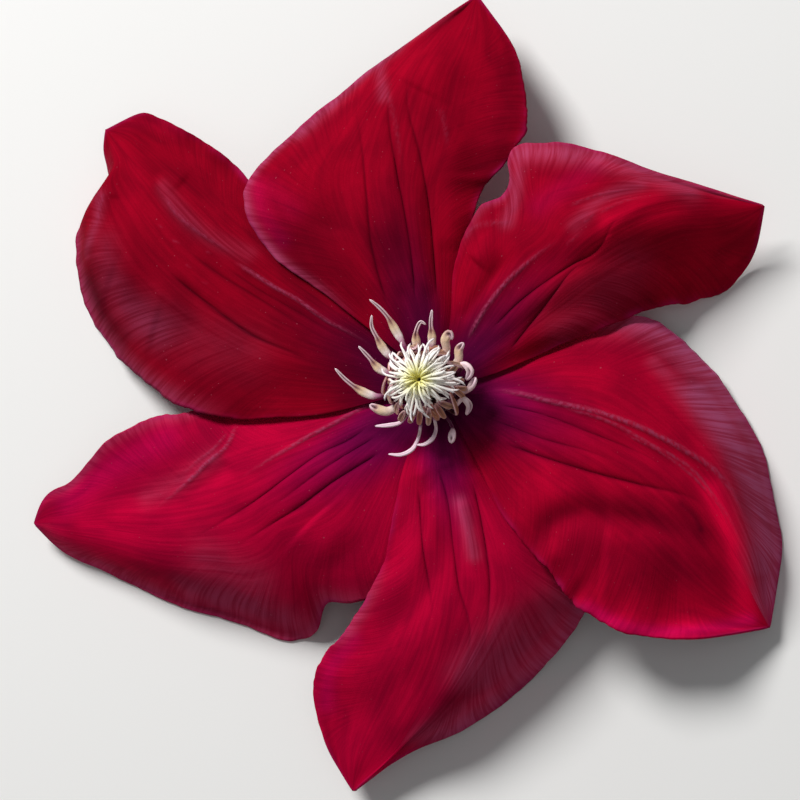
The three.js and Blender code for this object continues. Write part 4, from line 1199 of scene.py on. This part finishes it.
def style_path(rng, angle, part, crest, tip, crest_height, tip_height):
    """A style rising beside its neighbours, parting at the crest and arching outward."""
    sway, hook, reach, lift, droop = (
        rng.uniform(*STYLE_PLAY[key]) for key in ("sway", "hook", "reach", "lift", "droop")
    )
    from_bay = (math.degrees(angle) - BAY["angle"] + 180) % 360 - 180
    reach = tip * reach * (1 - BAY["depth"] * fading(from_bay, BAY["width"]))
    arch = 0.5 * (crest_height + tip_height) + ARCH_RISE + lift
    path = np.array((
        polar(angle, part, STYLE_ROOT),
        polar(angle, part, crest_height - PARTING_DROP),
        polar(angle, crest, crest_height + CREST_LIFT * lift),
        polar(angle + ARCH_SWAY * sway, 0.5 * (crest + reach), arch),
        polar(angle + sway + hook, reach, tip_height + lift),
        polar(angle + sway + TIP_HOOK * hook, reach + TIP_REACH, tip_height + lift + droop),
    ))
    path[:, :2] += np.linspace(0, 1, len(path))[:, None] * STYLE_SHIFT
    return path


def build_styles():
    rng = np.random.default_rng(STYLE_SEED)
    template = strand_template("style_template", *STYLE_CELLS)
    section = flat_section(STYLE_PROFILE, end_reach=STYLE_END)
    strands = []
    for ring, (count, *shape) in enumerate(STYLE_RINGS):
        for i in range(count):
            angle = 2 * math.pi * (i + RING_TURN * ring) / count + rng.uniform(*STYLE_PLAY["angle"])
            path = style_path(rng, angle, *shape)
            twist = rng.uniform(*STYLE_PLAY["twist"])
            strands.append(roll_strand(template, f"style_{ring}_{i}", path, section, twist))
    bpy.data.objects.remove(template)
    template = strand_template("core_template", *CORE_CELLS)
    strands.append(roll_strand(template, "core", CORE_ROUTE, round_section(CORE_PROFILE)))
    bpy.data.objects.remove(template)
    obj = join_strands(strands, "styles_fine")
    points = vertex_array(obj.data) / MM - (*AXIS, 0)
    set_attributes(obj.data, tone=np.hypot(points[:, 0], points[:, 1]) / TUFT_RADIUS)
    finish_piece(obj, "styles", style_material())


# ---------------------- the stalk

STALK_ROUTE = (
    (0, 0, 12.6), (-0.6, 0.2, 9), (-3.6, 1.2, 4.6), (-9.5, 3.4, 2.2), (-19, 7.4, 1.4), (-29, 12.6, 1.25),
    (-38, 18.5, 1.25),
)
STALK_RADIUS = 1.2
STALK_CELLS = (250, 36)
STALK_WAIST = 0.93          # share of the radius between the ribs
STALK_RIB = 0.06            # share of it that a rib adds
CUT_SHARE = 0.004           # of the stalk's length over which its end closes
RECEPTACLE_ROUTE = ((0, 0, 10.2), (0, 0, 13.4), (0, 0, 16.9))
RECEPTACLE_PROFILE = ((0, 0), (0.03, 1.2), (0.2, 2.5), (0.36, 3.05), (0.94, 3.05), (1, 0))
WELT = 0.04                 # share of the radius that a welt under a sepal adds


def stalk_section(along, around):
    """A shallowly ribbed round stem with a square-cut end."""
    ribs = ribbing(around)
    radius = STALK_RADIUS * (STALK_WAIST + STALK_RIB * ribs) * np.clip((1 - along) / CUT_SHARE, 0, 1)
    radius = np.where(along <= 0, 0.0, radius)
    return radius * np.cos(around), radius * np.sin(around), ribs


def build_stalk():
    """The cut stalk and the swollen seat of the sepals, with a low welt under each of them."""
    template = strand_template("stalk_template", *STALK_CELLS)
    stem = roll_strand(template, "stem", STALK_ROUTE, stalk_section, cut=0.0)
    seat = roll_strand(
        template, "seat", RECEPTACLE_ROUTE, round_section(RECEPTACLE_PROFILE, WELT), cut=1.0
    )
    bpy.data.objects.remove(template)
    finish_piece(join_strands([stem, seat], "stalk_fine"), "stalk", stalk_material())


# ---------------------- the stage

FLOOR_SIZE = 6              # m
FLOOR_COLOUR = (0.88, 0.87, 0.85, 1)
FLOOR_ROUGHNESS = 0.9
SKY = {"colour": (0.92, 0.96, 1.0, 1), "strength": 0.14}
# Lamps: place and width in metres, and power in watts.
KEY_LAMP = ((-0.40, 0.62, 0.74), 0.42)
FILL_LAMP = ((0.3, -0.2, 1.0), 0.9)
FILL_POWER = 0.7
LAMP_AIM = Vector((0, 0, 0.01))
CAMERA_AZIMUTH = math.radians(54)
CAMERA_ELEVATION = math.radians(75)
CAMERA_DISTANCE = 0.45      # m
CAMERA_NEAR = 0.01          # m
CAMERA_AIM = (AXIS[0] - 6.0, AXIS[1] - 1.0, 14.0)
CAMERA_LENS = 121.5


def link_new(scene, name, data):
    obj = bpy.data.objects.new(name, data)
    scene.collection.objects.link(obj)
    return obj


def build_camera(scene):
    """A camera on the photograph's line of sight, with the picture's upright kept."""
    flat_reach = math.cos(CAMERA_ELEVATION)
    back = Vector((
        math.sin(CAMERA_AZIMUTH) * flat_reach, -math.cos(CAMERA_AZIMUTH) * flat_reach,
        math.sin(CAMERA_ELEVATION),
    ))
    right = Vector((0, 1, 0)).cross(back).normalized()
    turn = Matrix((right, back.cross(right), back)).transposed().to_4x4()
    camera = bpy.data.cameras.new("camera")
    camera.lens = CAMERA_LENS
    camera.clip_start = CAMERA_NEAR
    scene.camera = link_new(scene, "camera", camera)
    scene.camera.matrix_world = Matrix.Translation(Vector(CAMERA_AIM) * MM + back * CAMERA_DISTANCE) @ turn


def build_lamp(scene, name, where, width, power):
    lamp = bpy.data.lights.new(name, "AREA")
    lamp.shape = "DISK"
    lamp.size = width
    lamp.energy = power
    holder = link_new(scene, name, lamp)
    holder.location = where
    holder.rotation_euler = (LAMP_AIM - Vector(where)).to_track_quat("-Z", "Y").to_euler()


def build_stage(scene):
    deselect_all()
    bpy.ops.mesh.primitive_plane_add(size=FLOOR_SIZE, location=(0, 0, 0))
    floor = rename(bpy.context.object, "floor")
    skin = Skin("pale_floor")
    skin.shader.inputs["Base Color"].default_value = FLOOR_COLOUR
    skin.shader.inputs["Roughness"].default_value = FLOOR_ROUGHNESS
    floor.data.materials.append(skin.material)
    build_camera(scene)
    build_lamp(scene, "key", *KEY_LAMP, scene.clematis.key_power)
    build_lamp(scene, "fill", *FILL_LAMP, FILL_POWER)
    scene.world = bpy.data.worlds.new("studio")
    scene.world.use_nodes = True
    background = scene.world.node_tree.nodes["Background"]
    background.inputs["Color"].default_value = SKY["colour"]
    background.inputs["Strength"].default_value = SKY["strength"]
    scene.view_settings.view_transform = "Standard"


# ---------------------- the add-on


def colour_property(name, description, default):
    return FloatVectorProperty(
        name=name, description=description, default=default, size=3, min=0.0, max=1.0, subtype="COLOR"
    )


class ClematisSettings(bpy.types.PropertyGroup):
    """Sizes and colours of the bloom."""

    blade_thickness: FloatProperty(
        name="Blade thickness", description="Thickness of a sepal", default=0.45 * MM, min=0.2 * MM,
        max=0.7 * MM, unit="LENGTH",
    )
    outer_uprights: IntProperty(
        name="Outer stamens", description="Upright stamens in the outer ring", default=27, min=6, max=40
    )
    inner_uprights: IntProperty(
        name="Inner stamens", description="Upright stamens in the inner ring", default=18, min=6, max=30
    )
    crimson: colour_property("Crimson", "Red of the sepals that lean least to magenta", (0.40, 0.0006, 0.012))
    magenta: colour_property("Magenta", "Red of the sepals that lean most to magenta", (0.45, 0.0006, 0.030))
    # The mauve of the painted velvet sheen.
    nap: colour_property("Nap", "Mauve of the velvet where it catches the sky", (0.46, 0.085, 0.20))
    key_power: FloatProperty(
        name="Key light", description="Power of the main light", default=12.0, min=0.0, unit="POWER"
    )


class CLEMATIS_OT_sepals(bpy.types.Operator):
    """Build the six velvety sepals"""

    bl_idname = "clematis.sepals"
    bl_label = "Sepals"

    def execute(self, context):
        settings = context.scene.clematis
        materials = (velvet_material(settings), underside_material())
        for node, spec in SEPALS.items():
            build_sepal(node, spec, settings, materials)
        return {"FINISHED"}


class CLEMATIS_OT_stamens(bpy.types.Operator):
    """Build the ring of stamens"""

    bl_idname = "clematis.stamens"
    bl_label = "Stamens"

    def execute(self, context):
        build_stamens(context.scene.clematis)
        return {"FINISHED"}


class CLEMATIS_OT_styles(bpy.types.Operator):
    """Build the tuft of styles"""

    bl_idname = "clematis.styles"
    bl_label = "Styles"

    def execute(self, context):
        build_styles()
        return {"FINISHED"}


class CLEMATIS_OT_stalk(bpy.types.Operator):
    """Build the receptacle and the cut stalk"""

    bl_idname = "clematis.stalk"
    bl_label = "Stalk"

    def execute(self, context):
        build_stalk()
        return {"FINISHED"}


class CLEMATIS_OT_stage(bpy.types.Operator):
    """Lay the floor, hang the lights and place the camera"""

    bl_idname = "clematis.stage"
    bl_label = "Stage"

    def execute(self, context):
        build_stage(context.scene)
        return {"FINISHED"}


class CLEMATIS_PT_bloom(bpy.types.Panel):
    """Clematis settings and the steps that build the bloom"""

    bl_idname = "CLEMATIS_PT_bloom"
    bl_label = "Clematis Bloom"
    bl_space_type = "VIEW_3D"
    bl_region_type = "UI"
    bl_category = "Clematis"

    def draw(self, context):
        for name in ClematisSettings.__annotations__:
            self.layout.prop(context.scene.clematis, name)
        for piece in ("sepals", "stamens", "styles", "stalk", "stage"):
            self.layout.operator("clematis." + piece)


CLASSES = (
    ClematisSettings, CLEMATIS_OT_sepals, CLEMATIS_OT_stamens, CLEMATIS_OT_styles, CLEMATIS_OT_stalk,
    CLEMATIS_OT_stage, CLEMATIS_PT_bloom,
)


def register():
    for cls in CLASSES:
        bpy.utils.register_class(cls)
    bpy.types.Scene.clematis = PointerProperty(type=ClematisSettings)


def unregister():
    del bpy.types.Scene.clematis
    for cls in reversed(CLASSES):
        bpy.utils.unregister_class(cls)


def main():
    register()
    bpy.ops.clematis.sepals()
    bpy.ops.clematis.stamens()
    bpy.ops.clematis.styles()
    bpy.ops.clematis.stalk()
    bpy.ops.clematis.stage()


if __name__ == "__main__":
    main()
